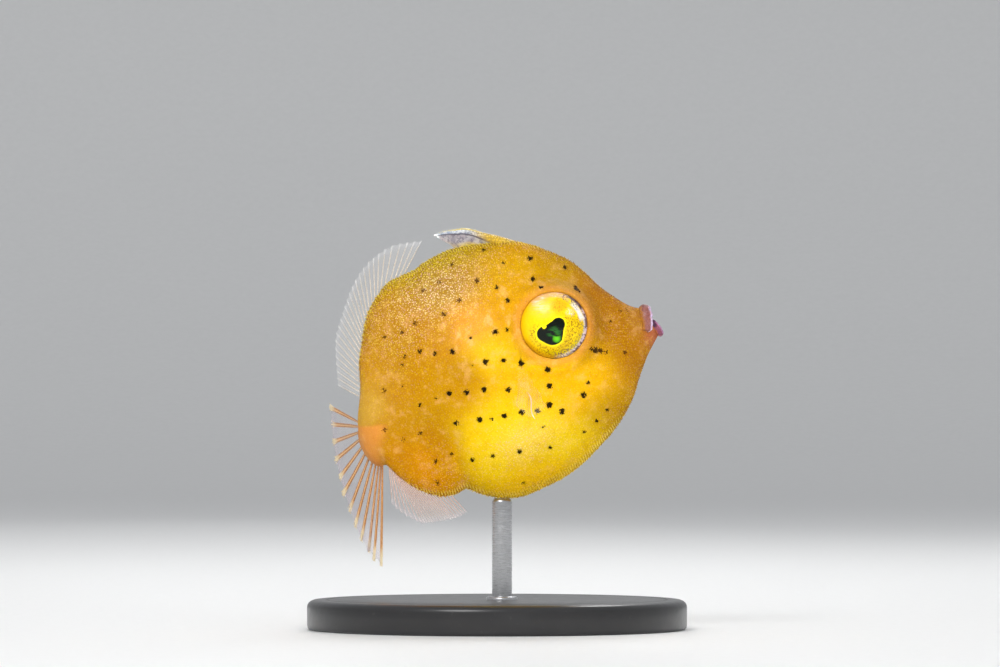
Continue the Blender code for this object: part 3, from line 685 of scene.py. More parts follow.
def reach_of(back, up, middle, reach):
    """1 at the middle of a patch, falling softly away over its reach."""
    return np.exp(-((back - middle[0]) / reach[0]) ** 2 - ((up - middle[1]) / reach[1]) ** 2)


def thickness(back, up, start, patches):
    """A share that is `start` all over and more or less within each patch."""
    return start + sum(rise * reach_of(back, up, middle, reach) for middle, reach, rise in patches)


def bare_tail(back, up):
    """1 on the smooth peach root of the tail, whose upper edge slopes up towards the fin."""
    below = ease((3.4 + 0.42 * (back - 82) - up) / 1.2)
    front = 82.6 + 0.50 * np.maximum(2.8 - up, 0)
    return np.maximum(ease((back - front) / 3.6) * below, ease((back - 92.5) / 2))


def markings(back, side, up):
    """Everything that the hide's paint reads, for arrays of places on the straight body."""
    margin = np.abs(across_of(back, up))
    dust = thickness(back, up, 0.30, DUST) + 0.45 * margin**6
    frost = thickness(back, up, 0.09, FROST_AND_SHEEN) + 0.45 * margin**8
    root = bare_tail(back, up)
    bare = np.maximum(root, ease((6.5 - back) / 3.0))
    tone = toned(back, up)
    rim = 0.5 * np.exp(-(((from_eye(back, up) / MM - 1.82) / 0.20) ** 2))
    tone = tone + (np.array(EYE_RIM) - tone) * rim[..., None]
    tone = tone + (np.array(TAIL_ROOT) - tone) * root[..., None]
    faded = 0.8 * ease((back - 70) / 14) + 0.75 * reach_of(back, up, (12, 0), (7, 8))
    faded = faded + 0.75 * ease((frost - 0.15) / 0.75) * (1 - ease((margin - 0.80) / 0.18)) * (up > 0)
    keel = ease((margin - np.where(up < 0, 0.93, 0.955)) / 0.035)
    return {
        "tone": tone, "ink": inked(back, side, up), "margin": margin, "back": back,
        "faded": np.clip(faded, 0, 1),
        "face": reach_of(back, up, (12, 3), (8, 8)) * ease((back - 5.5) / 2),
        "dust": np.clip(dust, 0, 1) * (1 - bare),
        "blush": np.clip(thickness(back, up, 0.32, BLUSH), 0, 1),
        "frost": np.clip(frost, 0, 1) * (1 - 0.8 * bare),
        "keel": keel * ease((back - 18) / 8) * ease((86 - back) / 3),
    }


SCALE_PITCH, GRAIN_PITCH = 6.2, 13.5
KINDS = {"FLOAT": "value", "FLOAT_COLOR": "color", "FLOAT_VECTOR": "vector"}


def keep(mesh, **fields):
    """Stores arrays on a mesh's points: a number, a colour or a vector a point."""
    for name, values in fields.items():
        values = np.asarray(values, np.float32)
        kind = "FLOAT" if values.ndim == 1 else "FLOAT_VECTOR"
        if name == "tone":
            kind = "FLOAT_COLOR"
            values = np.concatenate([values, np.ones((len(values), 1), np.float32)], axis=1)
        mesh.attributes.new(name, kind, "POINT").data.foreach_set(KINDS[kind], values.ravel())


def kept(mesh, name):
    """The vectors that `keep` stored under a name, an array."""
    flat = np.empty(len(mesh.vertices) * 3, np.float32)
    mesh.attributes[name].data.foreach_get("vector", flat)
    return flat.reshape(-1, 3)


back_at, side_at, up_at = -straight[:, 0] / PERCENT, straight[:, 1], straight[:, 2] / PERCENT
hidden = half_breadth(back_at, up_at) - SKIN_UNDER - np.abs(side_at)
in_gill = np.zeros(len(straight))
for share_down in np.linspace(0, 1, 9):
    in_gill = np.maximum(in_gill, reach_of(back_at, up_at, gill_at(share_down), (0.9, 0.7)))
pit = ease(hidden / (0.05 * MM)) * (np.abs(across_of(back_at, up_at)) < 0.97)
# Painted shade down in the nostrils and the gill slits: fainter in the gill slits, none round the eyes.
pit_shade = pit * (from_eye(back_at, up_at) > 1.9 * MM) * (1 - 0.85 * in_gill)
# Painted shade in the open mouth, on the front of the skin that shows between the lips.
mouth_shade = ease((2.75 - back_at) / 0.3)
keep(skin_mesh, pit=pit_shade, mouth=mouth_shade, **markings(back_at, side_at, up_at))


def hide_finish(name, bristle=False):
    """The hide's paint, for the skin or for the bristles that stand on it."""
    hide = Finish(name, Roughness=0.46, IOR=1.40, Specular_IOR_Level=0.03 if bristle else 0.12,
                  Subsurface_Weight=0.10, Subsurface_Radius=(1.0, 0.55, 0.10),
                  Subsurface_Scale=0.06 * MM)
    where = hide.place()
    frost, dusty, faded = hide.held("frost"), hide.held("dust"), hide.held("faded")
    face, keel = hide.held("face"), hide.held("keel")
    drift = hide.noise(where, 0.45, 3)
    marble = hide.noise(where, 1.7, 5, 0.62)
    patch = hide.noise(where, 2.3, 3)
    scale = hide.cells(where, SCALE_PITCH)
    scale_pick = hide.channel(hide.cells(where, SCALE_PITCH, "Color"), 1)
    grain = hide.cells(where, GRAIN_PITCH)
    grain_colour = hide.cells(where, GRAIN_PITCH, "Color")
    pick, other = hide.channel(grain_colour, 0), hide.channel(grain_colour, 1)

    # The grains: pale, lilac, gold and dark ones among the scales, with shadow in the gaps between.
    round_grain = grain.rise(0.60, 0.20)
    gaps = grain.rise(0.30, 0.58) * (frost * (dusty * 1.1 + 0.16) + 0.05)
    inner = frost.rise(0.15, 0.90) * hide.held("margin").rise(0.98, 0.80)
    light_tone = hide.mix(inner, (1.0, 0.80, 0.006), (0.98, 0.85, 0.56))
    pale = round_grain * pick.rise(0.60, 0.78) * (frost * 0.80 + 0.05)
    lilac = round_grain * pick.rise(0.50, 0.40) * other.rise(0.40, 0.55) * frost
    gold = round_grain * pick.rise(0.40, 0.30) * other.rise(0.42, 0.30) * (frost * 0.35 + 0.15)
    seed = scale.rise(0.30, 0.12) * scale_pick.rise(0.70, 0.92) * (frost * 0.75 + 0.03)
    dust = round_grain * other.rise(0.60, 0.80) * dusty * patch.rise(0.38, 0.60)

    # The short dashes of the face, the comb of light and dark along the keel, and the ragged spots.
    dashes = hide.noise(hide.stretched(where, (3.0, 6.0, 13.0), -PITCH * 0.4), 1.0, 3, 0.7)
    comb = hide.wave(hide.held("back") * 8.4 + patch * 9.0)
    ragged = hide.noise(where, 15, 2) - 0.5
    ink = hide.held("ink") + ragged * (faded * 0.12 + 0.16) + (other - 0.5) * (faded * 0.10 + 0.075)
    ink = ink - grain * 0.03 + 0.008
    inside = ink.rise(-0.018, 0.022)
    ink_tone = hide.painted((0.003, 0.002, 0.001), (ragged.rise(0.05, 0.22), (0.050, 0.022, 0.002)),
                            (faded, (0.150, 0.045, 0.003)))
    colour = hide.painted(
        hide.held("tone", "Color"),
        (drift.rise(0.35, 0.7) * 0.30, (1.0, 0.82, 0.5), "MULTIPLY"),
        (marble.rise(0.50, 0.68) * hide.held("blush") * 0.62, (1.0, 0.59, 0.26)),
        (marble.rise(0.48, 0.34) * 0.34, (0.88, 0.74, 0.4), "MULTIPLY"),
        (gaps, (0.48, 0.38, 0.14), "MULTIPLY"),
        (pale, light_tone),
        (lilac * 0.85, (0.85, 0.50, 0.54)),
        (gold, (0.82, 0.66, 0.002)),
        (seed * 0.65, light_tone),
        (dust * 0.72, (0.23, 0.11, 0.012)),
        (dashes.rise(0.56, 0.66) * face * 0.55, (0.62, 0.46, 0.20), "MULTIPLY"),
        (dashes.rise(0.42, 0.32) * face * 0.40, (0.84, 0.50, 0.17)),
        (keel * comb.rise(0.1, -0.7) * 0.30, (0.62, 0.42, 0.10), "MULTIPLY"),
        (keel * comb.rise(0.1, 0.8) * 0.60, (1.0, 0.88, 0.20)),
        (ink.rise(-0.10, 0.02) * 0.38, (0.55, 0.42, 0.30), "MULTIPLY"),
        (inside * (0.98 - faded * 0.15), ink_tone),
    )
    if bristle:
        tip = hide.held("tip").rise(0.15, 0.9) * (1 - inside * 0.9)
        return hide.surface(Base_Color=hide.painted(
            colour,
            (tip * pick.rise(0.30, 0.62) * (frost * 0.65 + 0.06), light_tone),
            (pick.rise(0.30, 0.15) * (frost * (dusty + 0.2) + 0.08), (0.42, 0.33, 0.12), "MULTIPLY"),
        ))
    colour = hide.painted(
        colour,
        # Painted shade in the open mouth.
        (hide.held("mouth") * 0.9, (0.055, 0.018, 0.040)),
        # Painted shade in the nostrils and the gill slits.
        (hide.held("pit") * 0.85, (0.12, 0.045, 0.012)),
    )
    ridges = hide.bump(round_grain * (other * 0.6 + 0.4), 0.020 * MM, 0.9)
    ridges = hide.bump(hide.noise(where, 4, 4), 0.030 * MM, 0.7, over=ridges)
    return hide.surface(
        Base_Color=colour, Normal=ridges,
        Roughness=hide.noise(where, 3.5, 3) * 0.22 + 0.38 + seed * -0.12,
    )


skin_mesh.materials.append(hide_finish("hide"))
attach(skin, "root")
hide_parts("head", "torso", "tail_base")


# The hide's bristles: filefish scales are tiny plates that each carry a little spine, so the whole fish
# feels like fine sandpaper. They stand a twentieth of a millimetre apart, lean backwards and show as a
# pale fringe along the outline. The eyes, the lips and the tail's root are smooth.
BRISTLE_SPACING = 0.046 * MM
BRISTLE_LENGTH = 0.060 * MM
BRISTLE_WIDTH = 0.0155 * MM
FRINGE_SPACING = 0.105 * MM
FRINGE_LENGTH = 0.150 * MM
FRINGE_WIDTH = 0.042 * MM
BEND, SUNK = 0.35, 0.18
SHORTEST, LONGEST = 0.65, 1.30
MAP_EDGE, MAP_SPAN, MAP_PATCH = 0.02, 0.96, 0.0014


class Grower:
    """A Geometry Nodes tree with named inputs, run once over a mesh and turned into a plain mesh."""

    def __init__(self, name, **inputs):
        self.tree = bpy.data.node_groups.new(name, "GeometryNodeTree")
        self.tree.interface.new_socket("Geometry", in_out="INPUT", socket_type="NodeSocketGeometry")
        self.tree.interface.new_socket("Geometry", in_out="OUTPUT", socket_type="NodeSocketGeometry")
        self.sockets = {}
        for label, value in inputs.items():
            kind = {float: "Float", int: "Int"}.get(type(value), "Material")
            made = self.tree.interface.new_socket(label.replace("_", " "), in_out="INPUT",
                                                  socket_type="NodeSocket" + kind)
            self.sockets[label] = (made.identifier, value)
        self.source = self.tree.nodes.new("NodeGroupInput")
        self.result = self.tree.nodes.new("NodeGroupOutput")

    def given(self, label):
        return self.source.outputs[label.replace("_", " ")]

    def node(self, kind, values=None, output=0, **settings):
        node = self.tree.nodes.new(kind)
        for setting, value in settings.items():
            setattr(node, setting, value)
        for socket, value in (values or {}).items():
            if isinstance(value, bpy.types.NodeSocket):
                self.tree.links.new(value, node.inputs[socket])
            else:
                node.inputs[socket].default_value = value
        return node.outputs[output]

    def number(self, operation, *values):
        return self.node("ShaderNodeMath", dict(enumerate(values)), operation=operation)

    def named(self, attribute, kind="FLOAT"):
        return self.node("GeometryNodeInputNamedAttribute", {"Name": attribute}, data_type=kind)

    def grow(self, name, geometry, mesh):
        """The plain mesh that the tree makes of `mesh`."""
        self.tree.links.new(geometry, self.result.inputs[0])
        ground = plain_object(name + "-ground", mesh)
        modifier = ground.modifiers.new("grow", "NODES")
        modifier.node_group = self.tree
        for identifier, value in self.sockets.values():
            modifier[identifier] = value
        graph = bpy.context.evaluated_depsgraph_get()
        grown = bpy.data.meshes.new_from_object(ground.evaluated_get(graph))
        bpy.data.objects.remove(ground)
        grown.name = name
        finish = self.sockets["Finish"][1]
        grown.materials.clear()
        grown.materials.append(finish)
        grown.polygons.foreach_set("material_index", np.zeros(len(grown.polygons), np.int32))
        return grown


def bristles(name, mesh, spacing, length, width, finish, seed, along_edges=False):
    """Bristles over a mesh's faces, or at its points, each a bent three-sided spike."""
    grower = Grower(name, Spacing=float(spacing), Length=float(length), Width=float(width), Seed=seed,
                    Finish=finish)
    source = grower.given("Geometry")
    if along_edges:
        points = grower.node("GeometryNodeMeshToPoints", {"Mesh": source})
    else:
        thickest = grower.number("DIVIDE", 4.0, grower.number("POWER", grower.given("Spacing"), 2.0))
        points = grower.node("GeometryNodeDistributePointsOnFaces", {
            "Mesh": source, "Distance Min": grower.given("Spacing"), "Density Max": thickest,
            "Density Factor": grower.named("cover"), "Seed": grower.given("Seed"),
        }, distribute_method="POISSON")
    spike = grower.node("GeometryNodeMeshCone", {
        "Vertices": 3, "Side Segments": 1, "Radius Top": 0.0, "Radius Bottom": grower.given("Width"),
        "Depth": grower.given("Length"),
    })
    place_at = grower.node("GeometryNodeInputPosition")
    height = grower.node("ShaderNodeSeparateXYZ", {0: place_at}, output=2)
    share = grower.number("DIVIDE", height, grower.given("Length"))
    spike = grower.node("GeometryNodeStoreNamedAttribute", {
        "Geometry": spike, "Name": "tip", "Value": share,
    }, data_type="FLOAT", domain="POINT")
    flat = grower.node("ShaderNodeVectorMath", {0: place_at, 1: grower.node(
        "ShaderNodeCombineXYZ", {0: grower.given("Width"), 1: grower.given("Width"), 2: 1.0})},
        operation="DIVIDE")
    spike = grower.node("GeometryNodeStoreNamedAttribute", {
        "Geometry": spike, "Name": "patch", "Value": flat,
    }, data_type="FLOAT_VECTOR", domain="POINT")
    bend = grower.number("MULTIPLY", grower.number("POWER", share, 2.0),
                         grower.number("MULTIPLY", grower.given("Length"), BEND))
    sunk = grower.number("MULTIPLY", grower.given("Length"), -SUNK)
    spike = grower.node("GeometryNodeSetPosition", {
        "Geometry": spike, "Offset": grower.node("ShaderNodeCombineXYZ", {0: bend, 2: sunk}),
    })
    lie = grower.node("FunctionNodeAlignRotationToVector", {
        "Vector": grower.named("lie", "FLOAT_VECTOR"), "Factor": 1.0}, axis="Z")
    lie = grower.node("FunctionNodeAlignRotationToVector", {
        "Rotation": lie, "Vector": grower.named("backward", "FLOAT_VECTOR"), "Factor": 1.0},
        axis="X", pivot_axis="Z")
    size = grower.node("FunctionNodeRandomValue", {
        "Min": SHORTEST, "Max": LONGEST, "Seed": grower.given("Seed")}, output=1, data_type="FLOAT")
    standing = grower.node("GeometryNodeInstanceOnPoints", {
        "Points": points, "Instance": spike, "Rotation": lie,
        "Scale": grower.number("MULTIPLY", size, grower.named("length")),
    })
    real = grower.node("GeometryNodeRealizeInstances", {"Geometry": standing})
    done = grower.node("GeometryNodeSetMaterial", {"Geometry": real, "Material": grower.given("Finish")})
    return grower.grow(name, done, mesh)


angle_table = np.linspace(0, math.pi, 721)
height_table = height_at(angle_table)


def lay_patches(mesh):
    """The map the bristles' colours are laid out on: each is a small patch at its root's place on the
    body, opened out flat with its length one way and the angle round each section the other."""
    back, side, up = kept(mesh, "straight").T
    angle = np.interp(-across_of(back, up), -height_table, angle_table) / (2 * math.pi)
    round_at = np.where(side >= 0, angle, 1 - angle)
    spread = MAP_EDGE + MAP_SPAN * np.stack([(back - BODY_START) / BODY_RUN, round_at], axis=1)
    spread = spread + kept(mesh, "patch")[:, :2] * MAP_PATCH
    corners = np.empty(len(mesh.loops), np.int32)
    mesh.loops.foreach_get("vertex_index", corners)
    layer = mesh.uv_layers.new(name="OFBake")
    layer.data.foreach_set("uv", spread[corners].astype(np.float32).ravel())


def unit(rows):
    """Every row of an array as a direction one long."""
    return rows / np.maximum(np.linalg.norm(rows, axis=1, keepdims=True), 1e-12)


def leaning(normals, straight_points, upright=0.85, back_lean=0.55):
    """Which way the bristles at some places point, and which way is backwards there."""
    behind = straight_points + np.array([-0.02 * MM, 0, 0])
    backward = posed(turned(behind)) - posed(turned(straight_points))
    backward = unit(backward - (backward * normals).sum(axis=1, keepdims=True) * normals)
    return unit(upright * normals + back_lean * backward), backward


def bristle_cover(back, up):
    """Where the hide bears bristles, and how long they are against the usual."""
    away = from_eye(back, up) / MM
    cover = ease((away - 1.98) / 0.25) * ease((back - 7.0) / 3.0) * (1 - bare_tail(back, up))
    smooth_face = 1 - 0.55 * reach_of(back, up, (16, 6), (9, 12))
    edge = np.abs(across_of(back, up)) ** 10
    keel = reach_of(back, up, (52, -28), (16, 5))
    length = (0.75 + 0.45 * edge + 0.75 * keel) * smooth_face
    length = length * np.clip(0.35 + (back - 7) / 14, 0.35, 1) * (1 - 0.5 * ease((back - 82) / 5))
    return np.clip(cover, 0, 1) * (pit < 0.2), length


lie, backward = leaning(spots_of(skin_mesh, "normal"), straight)
cover, length = bristle_cover(back_at, up_at)
coat_ground = skin_mesh.copy()
keep(coat_ground, lie=lie, backward=backward, cover=cover, length=length,
     straight=np.stack([back_at, side_at, up_at], axis=1))
bristle_finish = hide_finish("bristle", bristle=True)
grown = bristles("bristles", coat_ground, BRISTLE_SPACING, BRISTLE_LENGTH, BRISTLE_WIDTH,
                 bristle_finish, 7)


def part_of(mesh, name, chosen):
    """A copy of the mesh with only the faces whose every corner is chosen."""
    share = mesh.copy()
    share.name = name
    surface = bmesh.new()
    surface.from_mesh(share)
    surface.verts.ensure_lookup_table()
    unwanted = [surface.verts[i] for i in np.flatnonzero(~chosen)]
    bmesh.ops.delete(surface, geom=unwanted, context="VERTS")
    surface.to_mesh(share)
    surface.free()
    return share


on_left = kept(grown, "straight")[:, 1] >= 0
for name, chosen in (("bristles_left", on_left), ("bristles_right", ~on_left)):
    coat_mesh = part_of(grown, name, chosen)
    lay_patches(coat_mesh)
    coat = plain_object(name, coat_mesh)
    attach(coat, "root")


def run_along(back, up):
    """How far along a line each of its points lies, in hundredths."""
    return np.concatenate([[0], np.cumsum(np.hypot(np.diff(back), np.diff(up)))])


# The fringe is one more row of longer bristles along the keel of the back and of the belly.
fringe_rows = []
for line, first, last, outward in ((BACK_LINE, 9.5, 90.0, 1), (BELLY_LINE, 8.0, 86.0, -1)):
    fine = np.linspace(first, last, 3000)
    length_on = run_along(fine, through(line, fine)) * PERCENT
    rng = np.random.default_rng(19 + outward)
    steps = np.arange(0, length_on[-1], FRINGE_SPACING)
    for side in (-1, 0, 1):
        stagger = steps + (0.5 * abs(side) + rng.uniform(-0.15, 0.15, len(steps))) * FRINGE_SPACING
        back = np.interp(stagger, length_on, fine)
        slope = np.gradient(through(line, back), back)
        out = np.stack([slope, np.full(len(back), side * 0.55), np.ones(len(back))], axis=1)
        up = through(line, back) - outward * (SKIN_UNDER / PERCENT) * 1.2
        at = np.stack([-back * PERCENT, np.full(len(back), side * 0.050 * MM), up * PERCENT], axis=1)
        fringe_rows.append((at, unit(out * np.array([outward, 1, outward]))))
fringe_at, fringe_out = (np.concatenate(rows) for rows in zip(*fringe_rows))
fringe_normals = unit(posed(turned(fringe_at + fringe_out * 0.02 * MM)) - posed(turned(fringe_at)))
lie, backward = leaning(fringe_normals, fringe_at, 0.9, 0.35)
fringe_ground = bpy.data.meshes.new("fringe ground")
fringe_ground.from_pydata(posed(turned(fringe_at)).tolist(), [], [])
fringe_back, fringe_side, fringe_up = fringe_at.T * np.array([[-1 / PERCENT], [1], [1 / PERCENT]])
length = np.random.default_rng(5).uniform(0.6, 1.1, len(fringe_at))
length = length * np.clip(0.5 + (fringe_back - 8) / 30, 0.5, 1)
length = length * (1 - 0.45 * ease((fringe_back - 78) / 8))
keep(fringe_ground, lie=lie, backward=backward, length=length,
     straight=np.stack([fringe_back, fringe_side, fringe_up], axis=1),
     **markings(fringe_back, fringe_side, fringe_up))
fringe_mesh = bristles("fringe", fringe_ground, FRINGE_SPACING, FRINGE_LENGTH, FRINGE_WIDTH,
                       bristle_finish, 3, along_edges=True)
lay_patches(fringe_mesh)
fringe = plain_object("fringe", fringe_mesh)
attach(fringe, "root")


# The eyes: large, round and glossy, each a flattened ball set in its fold. The iris is gold with brown
# speckles below and a silver crescent in front that carries a painted highlight, with another beside it;
# painted sheen lies on its upper rear and painted shadow of the fold low behind. The pupil is a leaning
# drop with a notch, with a painted green reflection inside.
EYE_MIDDLE = posed(np.array([[-EYE_PLACE[0] * PERCENT, 0, EYE_PLACE[1] * PERCENT]]))[0]
PUPIL_LOW, PUPIL_LOW_SIZE = (-0.08, -0.41), 0.570
PUPIL_HIGH, PUPIL_HIGH_SIZE = (0.220, 0.060), 0.325
PUPIL_REAR, PUPIL_REAR_SIZE = (-0.46, -0.42), 0.385
PUPIL_NOTCH, PUPIL_NOTCH_SIZE = (-0.49, -0.055), 0.115
EYE_GOLD = (0.92, 0.64, 0.001)
EYE_SEGMENTS, EYE_RINGS = 128, 64


def eye_finish():
    """The eye's paint, laid out flat round its middle, x forwards and z up in millimetres."""
    iris = Finish("eye", Roughness=0.34, IOR=1.38, Specular_IOR_Level=0.10, Coat_Weight=0.8,
                  Coat_Roughness=0.05, Coat_IOR=1.33, Subsurface_Weight=0.08,
                  Subsurface_Radius=(1.0, 0.7, 0.2), Subsurface_Scale=0.1 * MM)
    centred = iris.vector("SUBTRACT", iris.place(), tuple(EYE_MIDDLE / MM))
    flat = iris.vector("MULTIPLY", centred, (1, 0, 1))

    def away(x, z):
        return iris.vector("DISTANCE", flat, (x, 0, z), "Value")

    def along(x, z):
        return iris.vector("DOT_PRODUCT", flat, (x, 0, z), "Value")

    radius = away(0, 0)

    def towards(degrees, wide, narrow):
        """1 within `narrow` degrees of a direction from the middle, 0 past `wide`."""
        turn = math.radians(degrees)
        cosine = along(math.cos(turn), math.sin(turn)) / radius
        return cosine.rise(math.cos(math.radians(wide)), math.cos(math.radians(narrow)))

    def band(inner, outer, soft=0.06):
        return radius.rise(inner - soft, inner + soft) * radius.rise(outer + soft, outer - soft)

    # The pupil: a drop that narrows upwards, with a lobe behind it and a notch between the two.
    lean = Vector(PUPIL_HIGH) - Vector(PUPIL_LOW)
    axis = lean.normalized()
    run = (along(*axis) - axis.dot(Vector(PUPIL_LOW))) / lean.length
    run = iris.node("ShaderNodeClamp", {0: run})
    foot = iris.node("ShaderNodeVectorMath", {0: (lean.x, 0, lean.y), "Scale": run}, operation="SCALE")
    foot = iris.vector("ADD", foot, (PUPIL_LOW[0], 0, PUPIL_LOW[1]))
    drop_size = run * (PUPIL_HIGH_SIZE - PUPIL_LOW_SIZE) + PUPIL_LOW_SIZE
    drop = iris.vector("DISTANCE", flat, foot, "Value") - drop_size
    edge = iris.least(drop, away(*PUPIL_REAR) - PUPIL_REAR_SIZE, 0.10)
    edge = iris.most(edge, PUPIL_NOTCH_SIZE - away(*PUPIL_NOTCH), 0.03)
    edge = edge + (iris.noise(flat, 5.5, 2) - 0.5) * 0.035

    fibres = iris.noise(flat, 9.0, 4, 0.65)
    cloud = iris.noise(flat, 2.4, 4, 0.6)
    grit = iris.noise(flat, 9.5, 4, 0.80)
    streaks = iris.noise(iris.stretched(flat, (2.0, 1, 8.0), math.radians(-38)), 1.2, 4, 0.7)
    chip = iris.channel(iris.cells(flat, 8.5, "Color"), 0)
    lilac_grains = iris.mix(chip.rise(0.52, 0.60), (0.12, 0.050, 0.095), (0.72, 0.58, 0.70))

    # The fold of light at the top, the warm patch above, and the three belts of brown specks.
    top_fold = band(1.42, 1.66, 0.05) * towards(98, 44, 26)
    warm = away(0.27, 0.96).rise(0.56, 0.16)
    specks = grit.rise(0.49, 0.58)
    low_belt = edge.rise(0.08, 0.18) * edge.rise(0.82, 0.45) * towards(-58, 98, 55)
    front_belt = band(0.58, 1.36, 0.10) * towards(4, 48, 24)
    rear_belt = edge.rise(0.06, 0.14) * edge.rise(0.50, 0.25) * towards(205, 34, 14)
    belts = iris.most(low_belt, iris.most(front_belt, rear_belt, 0.1), 0.1)
    # A painted highlight beside the crescent, pale and broken by grit.
    pale = away(0.80, 0.66).rise(0.30, 0.06) * grit.rise(0.46, 0.56)

    # The bright crescent in front, silver with a painted highlight on it, the thin silver and lilac rim
    # below it, and the dark line outside.
    crescent_and_highlight = band(1.30, 1.52, 0.05) * towards(31, 25, 12) * cloud.rise(0.20, 0.42)
    silver = radius.rise(1.45, 1.52) * towards(-30, 62, 36) * cloud.rise(0.25, 0.5)
    dark_specks = specks * radius.rise(1.28, 1.40) * iris.most(
        towards(56, 28, 14), towards(-42, 58, 34), 0.1)
    outer = radius.rise(1.515, 1.575)

    # Painted reflection in the pupil: green, and a brighter glint low down.
    inside = edge.rise(0.014, -0.012)
    glint = iris.noise(iris.stretched(flat, (2.2, 1, 5.0), math.radians(35)), 1.0, 3, 0.6)
    green_reflection = glint.rise(0.46, 0.62) * away(0.03, -0.42).rise(0.50, 0.10)
    bright_reflection = away(0.13, -0.66).rise(0.27, 0.06) * glint.rise(0.36, 0.50)
    pupil = iris.painted((0.002, 0.005, 0.002), (green_reflection * 0.9, (0.022, 0.155, 0.018)),
                         (bright_reflection * 0.9, (0.13, 0.62, 0.010)))
    colour = iris.painted(
        EYE_GOLD,
        (towards(-35, 110, 25) * radius.rise(0.4, 1.2) * cloud.rise(0.3, 0.6) * 0.75, (0.56, 0.33, 0.001)),
        (fibres.rise(0.46, 0.66) * 0.50, (0.98, 0.78, 0.004)),
        (band(1.28, 1.52) * towards(-75, 62, 30) * 0.5, (0.52, 0.44, 0.002)),
        (radius.rise(1.15, 1.58) * towards(165, 100, 60) * 0.80, (0.93, 0.56, 0.003)),
        # Painted shadow of the fold, brown at the lower rear of the rim.
        (radius.rise(1.36, 1.60) * towards(248, 52, 24) * 0.75, (0.46, 0.25, 0.002)),
        # Painted sheen on the upper rear of the eye: orange streaks, then pale peach ones.
        (away(-0.55, 1.00).rise(0.90, 0.20) * streaks.rise(0.30, 0.60) * 0.75, (0.92, 0.55, 0.11)),
        (away(-0.74, 1.00).rise(0.40, 0.06) * streaks.rise(0.34, 0.56) * 0.65, (0.97, 0.74, 0.42)),
        (top_fold * 0.75, (0.86, 0.46, 0.20)),
        (top_fold * streaks.rise(0.48, 0.60) * 0.7, (1.0, 0.78, 0.62)),
        (warm * cloud.rise(0.30, 0.52) * 0.85, (0.92, 0.42, 0.006)),
        (specks * belts * 0.88, (0.30, 0.105, 0.004)),
        (grit.rise(0.52, 0.60) * warm * 0.8, (0.62, 0.14, 0.012)),
        # The painted highlight beside the crescent.
        (pale * 0.80, (0.92, 0.84, 0.70)),
        # The crescent: silver, with a painted highlight.
        (crescent_and_highlight * (0.55 + 0.45 * grit.rise(0.38, 0.52)), (0.86, 0.80, 0.74)),
        (silver * grit.rise(0.40, 0.48) * 0.9, (0.78, 0.76, 0.76)),
        (dark_specks * 0.9, (0.10, 0.065, 0.10)),
        (outer * towards(2, 74, 46) * 0.85, lilac_grains),
        (outer * towards(48, 22, 10) * 0.85, (0.075, 0.035, 0.055)),
        # Painted shadow of the fold again, a thin brown line at the lower rear.
        (radius.rise(1.57, 1.63) * towards(222, 40, 20) * 0.5, (0.55, 0.26, 0.008)),
        (edge.rise(0.095, 0.050), (1.0, 0.80, 0.006)),
        (inside, pupil),
    )
    return iris.surface(Base_Color=colour, Normal=iris.bump(fibres, 0.012 * MM, 0.5),
                        Roughness=crescent_and_highlight * -0.15 + 0.38 - inside * 0.2)


eye_paint = eye_finish()
for name, node, side in (("eyeball_right", "eye_right", -1), ("eyeball_left", "eye_left", 1)):
    ball = egg(Vector((0, 0, 0)), EYE_RADIUS, EYE_DEPTH, EYE_SEGMENTS, EYE_RINGS)
    ball.transform(Matrix.Translation(Vector(EYE_MIDDLE) + Vector((0, side * EYE_OUT, 0))))
    face_out(ball)
    ball.materials.append(eye_paint)
    eyeball = plain_object(name, ball)
    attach(eyeball, "root")
    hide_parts(node)


# The mouth: small, at the very front and turned up. The upper lip is a thick soft fold, the lower lip a
# thinner one that juts out under it like a scoop; both are pinkish with a pale lilac edge.
UPPER_LIP = (
    (0.0, 3.00, 5.00, 0.0), (0.35, 3.15, 4.10, 0.28), (0.7, 3.74, 1.60, 0.45), (1.0, 4.75, -1.30, 0.56),
)
LOWER_LIP = (
    (0.0, 1.50, -3.00, 0.0), (0.35, 1.62, -2.20, 0.20), (0.7, 2.15, -0.10, 0.31), (1.0, 3.30, 1.90, 0.34),
)
# Three points of the painted shade where the mouth opens between the lips.
LIP_GAP_SHADE = ((7.74, 15.62), (7.785, 15.42), (7.83, 15.22))
# Each lip: its line, its radii forwards and outwards, and its paint.
LIPS = (
    ("lip_upper", UPPER_LIP, (0.29, 0.33, 0.24), (0.26, 0.21, 0.15),
     ("upper lip", (0.62, 0.46, 0.64), (0.27, 0.095, 0.075), (0.40, 0.16, 0.014))),
    ("lip_lower", LOWER_LIP, (0.16, 0.20, 0.16), (0.17, 0.13, 0.09),
     ("lower lip", (0.42, 0.20, 0.34), (0.24, 0.060, 0.10), (0.50, 0.14, 0.040), LIP_GAP_SHADE)),
)


